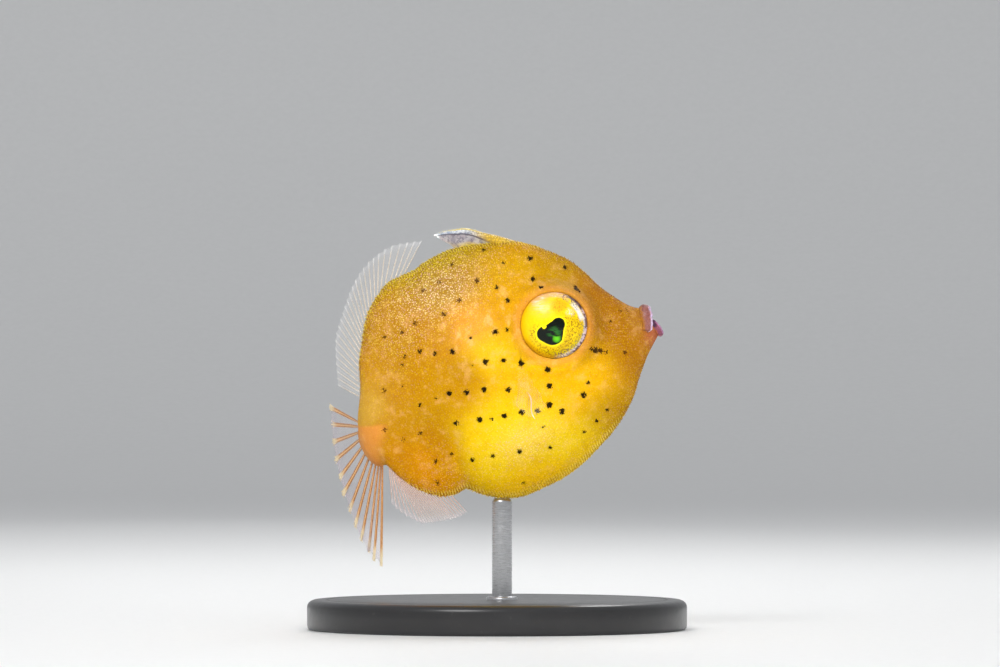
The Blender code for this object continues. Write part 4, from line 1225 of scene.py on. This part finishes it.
def lip_mesh(name, line, forward, outward, turns=90, sides=28):
    """A soft roll from one corner of the mouth over the middle to the other. `line` gives (turn, back,
    up, side in millimetres); the radii run from the middle to the corner."""
    steps = np.linspace(-1, 1, turns)
    turn = np.abs(steps)
    path = np.stack([
        -through([(t * t, b) for t, b, _, _ in line], turn**2) * PERCENT,
        np.sign(steps) * through([(t, side) for t, _, _, side in line], turn) * MM,
        through([(t * t, u) for t, _, u, _ in line], turn**2) * PERCENT,
    ], axis=1)
    tangent = unit(np.gradient(path, axis=0))
    ahead = np.array([1.0, 0, -0.15])
    ahead = unit(ahead - (tangent @ ahead)[:, None] * tangent)
    beside = np.cross(tangent, ahead)
    angle = np.linspace(0, 2 * math.pi, sides, endpoint=False)
    front = np.interp(turn, (0, 0.5, 1), forward)[:, None] * MM
    out = np.interp(turn, (0, 0.5, 1), outward)[:, None] * MM
    rng = np.random.default_rng(len(name))
    crinkle = 1 + 0.05 * np.sin(steps * 21 + rng.uniform(0, 6))[:, None] * np.cos(angle)
    crinkle = crinkle + 0.03 * np.sin(steps * 47 + rng.uniform(0, 6))[:, None]
    end = np.sqrt(np.clip((1 - turn) / 0.06, 0.02, 1))[:, None]
    ring = (
        path[:, None, :]
        + (front * end * crinkle * np.cos(angle))[..., None] * ahead[:, None, :]
        + (out * end * crinkle * np.sin(angle))[..., None] * beside[:, None, :]
    )
    mesh = grid_mesh(name, ring)
    edge = np.concatenate([np.tile(np.cos(angle), turns), [0, 0]])
    move_to(mesh, posed(spots_of(mesh)))
    keep(mesh, edge=edge, near=np.concatenate([np.repeat(turn, sides), [1, 1]]))
    face_out(mesh)
    return mesh


def lip_finish(name, pale, flesh, rear, gap_shade=None):
    """The lips' paint, from the root of the fold to its lip; `gap_shade` is painted shade: the dark line
    inside the jaw.
    """
    lips = Finish(name, Roughness=0.42, IOR=1.40, Subsurface_Weight=0.12, Coat_Weight=0.20,
                  Coat_Roughness=0.15, Subsurface_Radius=(1.0, 0.5, 0.3), Subsurface_Scale=0.10 * MM)
    where = lips.place()
    edge = lips.held("edge") + (lips.noise(where, 6, 3) - 0.5) * 0.45
    colour = lips.painted(
        rear,
        (edge.rise(-0.75, -0.15), flesh),
        (lips.noise(where, 11, 4, 0.65).rise(0.50, 0.62) * 0.55, (0.16, 0.050, 0.055)),
        (lips.cells(where, 9).rise(0.25, 0.05) * 0.35, (0.62, 0.42, 0.44)),
        (edge.rise(0.50, 0.90), pale),
    )
    if gap_shade:
        # Painted shade where the mouth opens: a dark line through the gap_shade points.
        flat = lips.vector("MULTIPLY", where, (1, 0, 1))
        near = [lips.vector("DISTANCE", flat, (x, 0, z), "Value") for x, z in gap_shade]
        line = lips.least(lips.least(near[0], near[1], 0.05), near[2], 0.05)
        colour = lips.mix(line.rise(0.20, 0.07) * 0.95, colour, (0.050, 0.012, 0.045))
    return lips.surface(Base_Color=colour, Normal=lips.bump(lips.noise(where, 8, 4), 0.03 * MM, 0.7))


for name, line, forward, outward, paint in LIPS:
    lip = plain_object(name, lip_mesh(name, line, forward, outward))
    lip.data.materials.append(lip_finish(*paint))
    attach(lip, "root")


# The tail fin: an open fan of twelve rays, turned away with the tail's root. Each ray is a pair of
# orange-brown strands with cream between them and a frayed cream tip, held in a web as clear as film.
ROOT_GAP = 0.26 * MM
CAUDAL_RAYS = 12
CAUDAL_SPREAD = math.radians(102)
FAN_TURN = TAIL_TURN - math.radians(5)
CAUDAL_ROOT = (92.0, 7.2, 8.9)
CAUDAL_ROOT_ARC = (math.radians(-82), math.radians(56))
CAUDAL_LENGTH = ((0.0, 4.75), (0.5, 4.15), (1.0, 4.25))
RAY_MARGIN = 0.24
STRAND_RADIUS = ((0.0, 0.034), (0.5, 0.036), (0.85, 0.040), (0.94, 0.056), (1.0, 0.034))
STRAND_APART = ((0.0, 0.026), (0.3, 0.058), (0.8, 0.074), (1.0, 0.090))
RAY_POINTS, FRAY = 34, 9
WEB_THICK = 0.018 * MM


def between(steps, at):
    """Values at the places `at` on straight lines between steps."""
    return np.interp(at, [step[0] for step in steps], [step[1] for step in steps])


def ray_place(ray, rays):
    """Where a ray lies across its fin, as the solid fin has its ridges."""
    return (ray + RAY_MARGIN) / (rays - 1 + 2 * RAY_MARGIN)


def caudal_point(across, along):
    """The place on the tail fin a share of the way across it and out along its rays."""
    centre, reach_back, reach_up = CAUDAL_ROOT
    arc = CAUDAL_ROOT_ARC[0] + (CAUDAL_ROOT_ARC[1] - CAUDAL_ROOT_ARC[0]) * across
    root = turned(np.array([place(centre + reach_back * math.cos(arc), 0, reach_up * math.sin(arc))]))[0]
    away_x, away_y = -math.cos(FAN_TURN), math.sin(FAN_TURN)
    angle = CAUDAL_SPREAD * across
    ray = level(away_x * math.sin(angle), away_y * math.sin(angle), -math.cos(angle))
    return root + ray * between(CAUDAL_LENGTH, across) * MM * along


def web_mesh(name, point, facing, rays, first_along, columns=8, rows=36, scallop=0.05):
    """The web of a fin: a closed sheet a thirtieth of a millimetre thick, thinner at its margin and
    drawn in a little between the rays."""
    span = np.linspace(0, 1, (rays - 1) * columns + 1)
    span = ray_place(0, rays) + (1 - 2 * ray_place(0, rays)) * span
    along = np.linspace(first_along, 1, rows)
    middle = np.empty((len(span), rows, 3))
    web = np.empty((len(span), rows))
    for j, across in enumerate(span):
        phase = j % columns / columns
        hollow = math.sin(math.pi * phase) ** 0.7 * scallop
        for i, share in enumerate(along):
            middle[j, i] = point(across, share * (1 - hollow * max(share, 0) ** 2))
            web[j, i] = math.sin(math.pi * phase)
    thick = WEB_THICK * (1 - 0.6 * np.clip(along, 0, 1))[None, :, None]
    ring = np.concatenate([
        middle + facing * thick, (middle - facing * thick)[:, ::-1],
    ], axis=1)
    mesh = grid_mesh(name, ring)
    reach = np.concatenate([np.tile(np.concatenate([along, along[::-1]]), len(span)), [0.5, 0.5]])
    between_rays = np.concatenate([np.concatenate([web, web[:, ::-1]], axis=1).ravel(), [0, 0]])
    move_to(mesh, posed(spots_of(mesh)))
    keep(mesh, reach=reach, between=between_rays)
    face_out(mesh)
    return mesh


def strands(name, lines, finish):
    """Round tapering strands along lines: each line is its points, radii, reach and shade."""
    points = np.concatenate([line[0] for line in lines])
    edges, start = [], 0
    for line in lines:
        count = len(line[0])
        edges += [(start + i, start + i + 1) for i in range(count - 1)]
        start += count
    rails = bpy.data.meshes.new(name + " rails")
    rails.from_pydata(posed(points).tolist(), edges, [])
    keep(rails, thick=np.concatenate([line[1] for line in lines]),
         reach=np.concatenate([line[2] for line in lines]),
         shade=np.concatenate([np.full(len(line[0]), float(line[3])) for line in lines]))
    grower = Grower(name, Sides=7, Finish=finish)
    curve = grower.node("GeometryNodeMeshToCurve", {"Mesh": grower.given("Geometry")})
    round_profile = grower.node("GeometryNodeCurvePrimitiveCircle", {
        "Resolution": grower.given("Sides"), "Radius": 1.0})
    swept = grower.node("GeometryNodeCurveToMesh", {
        "Curve": curve, "Profile Curve": round_profile, "Scale": grower.named("thick"),
        "Fill Caps": True})
    real = grower.node("GeometryNodeRealizeInstances", {"Geometry": swept})
    done = grower.node("GeometryNodeSetMaterial", {"Geometry": real, "Material": grower.given("Finish")})
    mesh = grower.grow(name, done, rails)
    face_out(mesh)
    return mesh


def web_finish(name, colour, margin, alpha, roughness=0.18):
    """A web's paint: `alpha` is how solid it looks at its root, more towards its margin."""
    web = Finish(name, Roughness=roughness, IOR=1.36)
    where = web.place()
    reach, gap = web.held("reach"), web.held("between")
    cloud = web.noise(where, 2.4, 3)
    tint = web.mix(reach.rise(0.55, 1.0) * cloud.rise(0.3, 0.7), colour, margin)
    seen = (1 - gap * 0.45) * alpha + reach.rise(0.78, 1.0) * alpha * 0.9 + (cloud - 0.5) * alpha * 0.5
    folds = web.noise(web.vector("MULTIPLY", where, (3, 3, 3)), 1.0, 3)
    return web.surface(Base_Color=tint, Alpha=seen, Normal=web.bump(folds, 0.03 * MM, 0.5))


def ray_finish(name, strand, core, tip, alpha=1.0):
    """A ray's paint; `alpha` is how solid it looks, or "shade" where each ray says so itself."""
    ray = Finish(name, Roughness=0.36, IOR=1.42, Coat_Weight=0.2, Coat_Roughness=0.15)
    where = ray.place()
    reach, shade = ray.held("reach"), ray.held("shade")
    ray.surface(Alpha=shade * reach.rise(0.35, 0.60) if alpha == "shade" else alpha)
    grain = ray.noise(where, 9, 3)
    joints = ray.noise(where, 26, 2).rise(0.50, 0.60)
    return ray.surface(Base_Color=ray.painted(
        strand,
        (grain.rise(0.35, 0.65) * 0.5, ray.mix(1.0, strand, (0.62, 0.50, 0.40), "MULTIPLY")),
        (joints * 0.30, (0.95, 0.72, 0.42)),
        (shade, core),
        ((reach + (grain - 0.5) * 0.12).rise(0.76, 0.92), tip),
    ))


tail_facing = level(-math.sin(FAN_TURN), -math.cos(FAN_TURN), 0)
caudal_web = plain_object("tail_fin_web", web_mesh(
    "tail_fin_web", caudal_point, tail_facing, CAUDAL_RAYS, -0.09))
caudal_web.data.materials.append(web_finish("tail web", (0.72, 0.60, 0.62), (0.60, 0.42, 0.58), 0.13))

ray_reach = np.linspace(-0.10, 1.0, RAY_POINTS)
rng = np.random.default_rng(12)
lines = []
for ray in range(CAUDAL_RAYS):
    across = ray_place(ray, CAUDAL_RAYS)
    middle = np.array([caudal_point(across, share) for share in ray_reach])
    beside = np.array([caudal_point(across + 0.01, share) for share in ray_reach]) - middle
    chord = middle[-1] - middle[0]
    beside = unit(beside - (beside * chord).sum(axis=1, keepdims=True) * chord / (chord**2).sum())
    sway = (0.05 * MM * rng.normal() * np.clip(ray_reach, 0, 1) ** 2)[:, None] * tail_facing
    middle = middle + sway
    apart = between(STRAND_APART, ray_reach)[:, None] * MM
    thick = between(STRAND_RADIUS, ray_reach) * MM * rng.uniform(0.9, 1.1)
    stop = rng.integers(RAY_POINTS - 3, RAY_POINTS)
    for which in (-1, 1):
        lines.append(((middle + which * apart * beside)[:stop], thick[:stop], ray_reach[:stop], 0.0))
    lines.append((middle[2:], thick[2:] * 0.95, ray_reach[2:], 1.0))
    for which in (-1.6, -0.5, 0.6, 1.7):
        splay = np.linspace(0.3, 1.25, FRAY)[:, None]
        fray = middle[-FRAY:] + which * apart[-FRAY:] * beside[-FRAY:] * splay
        lines.append((fray, np.linspace(0.034, 0.012, FRAY) * MM, ray_reach[-FRAY:], 0.7))
caudal_rays = plain_object("tail_fin_rays", strands("tail_fin_rays", lines, ray_finish(
    "tail ray", (0.50, 0.185, 0.030), (0.84, 0.52, 0.24), (0.80, 0.66, 0.42))))
for piece in (caudal_web, caudal_rays):
    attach(piece, "root")
    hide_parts("fin_caudal")


# The soft fins of the back and the belly: low, clear fins on fine unbranched rays that beat in waves to
# move the fish. They stand in a groove along the lobes and ripple sideways towards their margins.
DORSAL_RAYS = 27
DORSAL_BASE = (60.3, 87.6)
DORSAL_ANGLE = ((0.0, 61), (0.25, 90), (0.6, 118), (1.0, 152))
DORSAL_LENGTH = ((0.0, 1.55), (0.3, 1.70), (0.75, 1.45), (1.0, 0.95))
DORSAL_WAVE = (0.30 * MM, 1.6, 0.6)
ANAL_RAYS = 24
ANAL_BASE = (73.6, 87.2)
ANAL_ANGLE = ((0.0, -46), (0.4, -52), (0.75, -64), (1.0, -86))
ANAL_LENGTH = ((0.0, 0.85), (0.35, 1.35), (0.75, 2.10), (1.0, 1.45))
ANAL_WAVE = (0.26 * MM, 1.4, 2.4)
FINE_RAY = ((0.0, 0.026), (0.6, 0.017), (1.0, 0.008))


def lobe_point(line, base, outward, angles, lengths, wave):
    """The place (across, along) on a fin that grows along part of the body's outline."""
    back = np.linspace(base[0], base[1], 400)
    up = through(line, back)
    run = run_along(back, up)
    slope = np.gradient(up, back)

    def point(across, along):
        far = across * run[-1]
        at = float(np.interp(far, run, back))
        lean = float(np.interp(far, run, slope))
        normal = np.array([lean, 0, 1]) / math.hypot(lean, 1) * outward
        root = np.array(place(at, 0, float(through(line, at)))) + normal * ROOT_GAP
        angle = math.radians(between(angles, across))
        ray = level(math.cos(angle), 0, math.sin(angle))
        size, waves, start = wave
        shift = size * math.sin(2 * math.pi * waves * across + start) * max(along, 0) ** 1.3
        return root + ray * between(lengths, across) * MM * along + np.array([0, shift, 0])

    return point


def fine_fin(name, point, facing, rays, sink, margin, web_paint, ray_paint, nodes, scallop=0.06,
             marked=None):
    """A clear fin and its fine rays, as two pieces. `sink` is how far the roots go into the body and
    `marked` a ray that is thicker and paler than the rest."""
    web = plain_object(name + "_web", web_mesh(
        name + "_web", point, facing, rays, sink, columns=6, rows=26, scallop=scallop))
    web.data.materials.append(web_paint)
    reach = np.linspace(sink, 1.0, 24)
    rng = np.random.default_rng(len(name))
    lines = []
    for ray in range(rays):
        across = ray_place(ray, rays)
        length = 1.0 if ray == marked else rng.uniform(1 - margin, 1.0)
        at = np.array([point(across, share * length) for share in reach])
        stout, shade = (2.4, 0.90) if ray == marked else (1.0, 0.08 if marked else 0.0)
        thick = between(FINE_RAY, np.clip(reach, 0, 1)) * stout * MM
        if marked:
            thick = thick * np.clip(0.2 + 1.6 * reach, 0.2, 1)
        lines.append((at, thick, reach, shade))
    ribs = plain_object(name + "_rays", strands(name + "_rays", lines, ray_paint))
    for piece in (web, ribs):
        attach(piece, "root")
        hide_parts(*nodes)


clear_web = web_finish("clear web", (0.93, 0.90, 0.86), (0.90, 0.88, 0.90), 0.060, 0.12)
pale_ray = ray_finish("pale ray", (0.90, 0.78, 0.58), (0.9, 0.8, 0.6), (0.97, 0.95, 0.92), 0.38)
pink_web = web_finish("pink web", (0.92, 0.74, 0.68), (0.88, 0.70, 0.76), 0.060, 0.12)
pink_ray = ray_finish("pink ray", (0.86, 0.50, 0.36), (0.9, 0.6, 0.5), (0.95, 0.82, 0.78), 0.42)
side_web = web_finish("side fin web", (1.0, 0.82, 0.55), (0.98, 0.80, 0.62), 0.030, 0.12)
side_ray = ray_finish("side fin ray", (1.0, 0.66, 0.36), (1.0, 0.62, 0.38), (1.0, 0.72, 0.50), "shade")
sideways = np.array([0, 1.0, 0])
fine_fin("soft_dorsal", lobe_point(BACK_LINE, DORSAL_BASE, 1, DORSAL_ANGLE, DORSAL_LENGTH, DORSAL_WAVE),
         sideways, DORSAL_RAYS, -0.24, 0.05, clear_web, pale_ray, ["fin_dorsal_soft"])
fine_fin("anal", lobe_point(BELLY_LINE, ANAL_BASE, -1, ANAL_ANGLE, ANAL_LENGTH, ANAL_WAVE),
         sideways, ANAL_RAYS, -0.34, 0.06, pink_web, pink_ray, ["fin_anal"])


# The side fins: small clear fans behind the gill slits, folded back and down along the flank.
PECTORAL_RAYS = 11
PECTORAL_REAR = (43.6, 2.2)
PECTORAL_FRONT = (40.9, 0.5)
PECTORAL_ANGLE = ((0.0, -66), (1.0, -98))
PECTORAL_LENGTH = ((0.0, 1.8), (0.45, 2.5), (1.0, 2.0))
PECTORAL_OUT = math.radians(24)
PECTORAL_HALF = 0.20 * MM
PECTORAL_WAVE = 0.40


def pectoral_point(side):
    """The places (across, along) on the side fin of one side."""
    def point(across, along):
        back = PECTORAL_REAR[0] + (PECTORAL_FRONT[0] - PECTORAL_REAR[0]) * across
        up = PECTORAL_REAR[1] + (PECTORAL_FRONT[1] - PECTORAL_REAR[1]) * across
        clear = (ROOT_GAP + PECTORAL_HALF) * min(1, 0.1 + 1.4 * max(along, 0))
        root = float(half_breadth(back, up, False)) + clear
        angle = math.radians(between(PECTORAL_ANGLE, across))
        reach = between(PECTORAL_LENGTH, across) * MM * along
        back += reach * math.cos(PECTORAL_OUT) * math.cos(angle) / PERCENT
        back -= PECTORAL_WAVE * math.sin(2 * math.pi * max(along - 0.4, 0) / 0.6)
        up += reach * math.cos(PECTORAL_OUT) * math.sin(angle) / PERCENT
        out = root + reach * math.sin(PECTORAL_OUT)
        if along > 0:
            out = max(out, float(half_breadth(back, up, False)) + clear)
        return np.array(place(back, side * out, up))

    return point


for name, side in (("pectoral_right", -1), ("pectoral_left", 1)):
    facing = np.array([0, side * math.cos(PECTORAL_OUT), math.sin(PECTORAL_OUT)])
    fine_fin(name, pectoral_point(side), facing, PECTORAL_RAYS, -0.06, 0.10, side_web, side_ray,
             ["fin_" + name], scallop=0.08, marked=5)


# The spine of the back: one stout spine that can be locked upright, here laid back along the nape. It
# is rough with tiny barbs, blue-grey with a white tip, and a pale web joins its underside to the back.
SPINE_TOP = (
    (7.05, 3.88), (7.45, 4.06), (7.90, 4.21), (8.20, 4.30), (8.65, 4.38), (9.10, 4.50), (9.50, 4.61),
    (9.90, 4.65), (10.25, 4.60), (10.65, 4.55), (11.00, 4.45), (11.35, 4.34),
)
SPINE_LOW = (
    (7.05, 3.60), (7.45, 3.66), (7.90, 3.74), (8.20, 3.78), (8.65, 3.90), (9.10, 4.02), (9.50, 4.10),
    (9.90, 4.02), (10.25, 3.94), (10.65, 3.92), (11.00, 4.10), (11.35, 4.26),
)
SPINE_START, SPINE_REACH = -7.05, 4.31
SPINE_RADIUS = ((0.0, 0.30), (0.20, 0.25), (0.45, 0.19), (0.78, 0.13), (0.93, 0.07), (1.0, 0.035))
SPINE_SIDES = 40
SPINE_RINGS = 150
SPINE_WEB_STEPS, SPINE_WEB_DEPTHS = 60, 16
SPINE_WEB_START, SPINE_WEB_REACH = -7.9, 3.32
SPINE_WEB_HALF = 0.055
BARBS = 34
BARB_SPACING, BARB_LENGTH, BARB_WIDTH = 0.1 * MM, 0.13 * MM, 0.034 * MM

run = np.linspace(0, 1, SPINE_RINGS)
ahead = SPINE_START - SPINE_REACH * run
ridge = through(SPINE_TOP, -ahead)
thick = between(SPINE_RADIUS, run)
angle = np.linspace(0, 2 * math.pi, SPINE_SIDES, endpoint=False)
rings = np.empty((SPINE_RINGS, SPINE_SIDES, 3))
for i in range(SPINE_RINGS):
    grooved = 1 + 0.05 * np.cos(5 * angle) + 0.02 * np.cos(11 * angle + run[i] * 40)
    out = thick[i] * np.sin(angle) * grooved * 0.9
    up_spine = ridge[i] - thick[i] + thick[i] * np.cos(angle) * grooved
    rings[i] = [level(ahead[i], o, u) for o, u in zip(out, up_spine)]
spine_mesh = grid_mesh("spine", rings * MM)
keep(spine_mesh, reach=np.concatenate([np.repeat(run, SPINE_SIDES), [0, 1]]),
     upper=np.concatenate([np.tile(np.cos(angle), SPINE_RINGS), [0, 0]]))
move_to(spine_mesh, posed(spots_of(spine_mesh)))
face_out(spine_mesh)

bone = Finish("spine", Roughness=0.40, IOR=1.5, Coat_Weight=0.15, Coat_Roughness=0.2)
where = bone.place()
reach, above = bone.held("reach"), bone.held("upper")
mottle = bone.noise(where, 5, 4, 0.6)
beads = bone.cells(where, 11)
bone_colour = bone.painted(
    (0.27, 0.31, 0.40),
    (mottle.rise(0.40, 0.62), (0.62, 0.64, 0.66)),
    (bone.noise(where, 12, 3, 0.7).rise(0.56, 0.66) * 0.7, (0.06, 0.08, 0.16)),
    (above.rise(0.45, 0.90) * reach.rise(0.92, 0.70), (0.84, 0.66, 0.14)),
    (reach.rise(0.62, 0.34), (0.66, 0.42, 0.015)),
    (beads.rise(0.30, 0.10) * above.rise(-0.2, 0.6) * 0.7, (1.0, 0.90, 0.52)),
    (beads.rise(0.40, 0.58) * reach.rise(0.75, 0.45) * 0.5, (0.22, 0.13, 0.02)),
    (above.rise(-0.30, -0.70) * reach.rise(0.30, 0.48) * 0.85, (0.10, 0.09, 0.13)),
    (reach.rise(0.935, 0.975), (0.98, 0.97, 0.95)),
)
spine_mesh.materials.append(bone.surface(Base_Color=bone_colour, Normal=bone.bump(mottle, 0.02 * MM, 0.8)))
spine = plain_object("spine", spine_mesh)

web_run = np.linspace(0, 1, SPINE_WEB_STEPS)
web_ahead = SPINE_WEB_START - SPINE_WEB_REACH * web_run
web_high = through(SPINE_TOP, -web_ahead) - between(SPINE_RADIUS, web_run * 0.92) * 1.2
web_low = through(SPINE_LOW, -web_ahead)
web_low = np.where(web_run < 0.84, web_low - 0.30 * (1 - ease((web_run - 0.70) / 0.14)), web_low)
web_low = np.minimum(web_low, web_high - 0.01)
depth = np.linspace(0, 1, SPINE_WEB_DEPTHS)
half = SPINE_WEB_HALF * (1 - 0.6 * web_run)
sheet = np.empty((SPINE_WEB_STEPS, 2 * SPINE_WEB_DEPTHS, 3))
for i in range(SPINE_WEB_STEPS):
    levels = web_high[i] + (web_low[i] - web_high[i]) * depth
    slack = 0.03 * np.sin(depth * math.pi) * math.sin(web_run[i] * 9)
    near = [level(web_ahead[i], slack_at + half[i], z) for slack_at, z in zip(slack, levels)]
    far = [level(web_ahead[i], slack_at - half[i], z) for slack_at, z in zip(slack[::-1], levels[::-1])]
    sheet[i] = near + far
web_of_spine = grid_mesh("spine_web", sheet * MM)
down_and_up = np.concatenate([depth, depth[::-1]])
keep(web_of_spine, reach=np.concatenate([np.tile(down_and_up, SPINE_WEB_STEPS), [0, 1]]),
     between=np.concatenate([np.repeat(web_run, len(down_and_up)), [0, 1]]))
move_to(web_of_spine, posed(spots_of(web_of_spine)))
face_out(web_of_spine)
film = Finish("spine web", Roughness=0.35, IOR=1.4, Subsurface_Weight=0.1, Subsurface_Scale=0.1 * MM)
where = film.place()
fleck = film.noise(where, 8, 4, 0.65)
edgewise, lengthwise = film.held("reach"), film.held("between")
film_colour = film.painted(
    (0.26, 0.23, 0.26),
    (film.noise(where, 2.6, 3).rise(0.35, 0.65), (0.46, 0.42, 0.41)),
    (lengthwise.rise(0.50, 0.10) * 0.55, (0.66, 0.52, 0.16)),
    (edgewise.rise(0.55, 1.0) * lengthwise.rise(0.9, 0.5), (0.72, 0.52, 0.06)),
    (fleck.rise(0.50, 0.60) * 0.6, (0.085, 0.070, 0.115)),
    (lengthwise.rise(0.93, 1.0), (0.95, 0.93, 0.90)),
)
web_of_spine.materials.append(film.surface(Base_Color=film_colour, Alpha=0.80 + fleck * 0.25,
                                           Normal=film.bump(fleck, 0.02 * MM, 0.6)))
spine_web = plain_object("spine_web", web_of_spine)

barb_rows = []
rng = np.random.default_rng(23)
for side in (-1, 1):
    for share in np.linspace(0.06, 0.93, BARBS):
        share = float(share + rng.uniform(-0.006, 0.006))
        tall = float(between(SPINE_RADIUS, share))
        x = SPINE_START - SPINE_REACH * share
        top = float(through(SPINE_TOP, -x))
        tilt = side * rng.uniform(0.15, 0.85)
        barb_rows.append((level(x, tall * math.sin(tilt), top - tall + tall * math.cos(tilt)) * MM,
                          level(-0.35, math.sin(tilt), math.cos(tilt))))
barb_at = np.array([row[0] for row in barb_rows])
barb_out = np.array([row[1] for row in barb_rows])
barb_lie = unit(posed(barb_at + barb_out * 0.01 * MM) - posed(barb_at))
barb_ground = bpy.data.meshes.new("barb ground")
barb_ground.from_pydata(posed(barb_at).tolist(), [], [])
keep(barb_ground, lie=barb_lie, backward=np.tile([-1.0, 0, 0], (len(barb_at), 1)),
     length=rng.uniform(0.6, 1.0, len(barb_at)),
     straight=np.stack([-barb_at[:, 0] / PERCENT, barb_at[:, 1], barb_at[:, 2] / PERCENT], axis=1))
horn = Finish("barb", Roughness=0.35, IOR=1.5)
horn_colour = horn.mix(horn.held("tip"), (0.72, 0.60, 0.24), (0.97, 0.93, 0.74))
horn_paint = horn.surface(Base_Color=horn_colour)
barbs = plain_object("spine_barbs", bristles(
    "spine_barbs", barb_ground, BARB_SPACING, BARB_LENGTH, BARB_WIDTH, horn_paint, 5, along_edges=True))
lay_patches(barbs.data)
for piece in (spine, spine_web, barbs):
    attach(piece, "root")
    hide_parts("spine_dorsal")


# The stand: a turned base of black-lacquered wood with a softened edge and a fine turned line, and one
# brushed steel rod, let into it through a small collar, that ends just short of the belly.
BASE_PROFILE = (
    (9.30, 0.0), (9.40, 0.03), (9.47, 0.10), (9.5, 0.22), (9.5, 1.12), (9.48, 1.24),
    (9.42, 1.35), (9.32, 1.43), (9.18, 1.485), (9.0, 1.5), (8.62, 1.5), (8.58, 1.485), (8.55, 1.45),
    (8.51, 1.435), (8.47, 1.45), (8.44, 1.485), (8.40, 1.5), (5.0, 1.5), (1.1, 1.5), (0.80, 1.5),
)
ROD_PLACE = 0.25
ROD_PROFILE = (
    (0.5, 1.2), (0.5, 1.56), (0.5, 3.0), (0.5, 5.0), (0.5, 6.34), (0.49, 6.42), (0.45, 6.50), (0.38, 6.56),
)
BASE_SEGMENTS, ROD_SEGMENTS = 256, 64
SHARP_FROM = math.radians(42)
COLLAR_PROFILE = ((0.5, 1.40), (0.78, 1.40), (0.78, 1.56), (0.76, 1.62), (0.70, 1.66), (0.5, 1.68))


def turned_piece(name, profile, x, segments, closed_end=True):
    """A piece turned on a lathe from (radius, height) places in millimetres."""
    angle = np.linspace(0, 2 * math.pi, segments, endpoint=False)
    rings = np.array([
        np.stack([x + r * np.cos(angle), r * np.sin(angle), np.full(segments, z)], axis=1)
        for r, z in profile
    ]) * MM
    if closed_end:
        mesh = grid_mesh(name, rings)
    else:
        mesh = grid_mesh(name, np.concatenate([rings, rings[:1]]), caps=False)
    face_out(mesh)
    mesh.set_sharp_from_angle(angle=SHARP_FROM)
    return plain_object(name, mesh)


lacquer = Finish("black lacquer", Roughness=0.30, IOR=1.48, Coat_Weight=0.30, Coat_Roughness=0.12)
where = lacquer.place()
from_axis = lacquer.vector("DISTANCE", lacquer.vector("MULTIPLY", where, (1, 1, 0)), (0, 0, 0), "Value")
tool_marks = lacquer.wave(from_axis * 46)
dust = lacquer.noise(where, 2.2, 5, 0.7)
wear = lacquer.noise(where, 0.6, 3)
lacquer_colour = lacquer.painted((0.012, 0.012, 0.013), (wear, (0.022, 0.021, 0.021)),
                                 (dust.rise(0.62, 0.74) * 0.35, (0.075, 0.073, 0.070)))
lacquer_paint = lacquer.surface(
    Base_Color=lacquer_colour, Roughness=dust * 0.20 + 0.24,
    Normal=lacquer.bump(tool_marks * 0.5 + 0.5, 0.004 * MM, 0.5),
)
steel = Finish("brushed steel", Metallic=1.0, Roughness=0.28)
brushed = steel.noise(steel.stretched(steel.place(), (2.0, 2.0, 42.0)), 1.0, 4, 0.6)
steel_paint = steel.surface(
    Base_Color=steel.mix(brushed.rise(0.35, 0.65), (0.52, 0.52, 0.53), (0.70, 0.70, 0.71)),
    Roughness=brushed * 0.16 + 0.20, Normal=steel.bump(brushed, 0.004 * MM, 0.6),
)
base = turned_piece("stand_base_turned", BASE_PROFILE, 0.0, BASE_SEGMENTS)
base.data.materials.append(lacquer_paint)
rod = turned_piece("stand_rod_drawn", ROD_PROFILE, ROD_PLACE, ROD_SEGMENTS)
rod.data.materials.append(steel_paint)
collar = turned_piece("stand_collar", COLLAR_PROFILE, ROD_PLACE, ROD_SEGMENTS, closed_end=False)
collar.data.materials.append(steel_paint)
for piece, node, slot in ((base, "stand_base", "stand_base"), (rod, "stand_rod", "stand_rod"),
                          (collar, "stand_rod", "stand_rod")):
    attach(piece, "root")
    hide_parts(node)
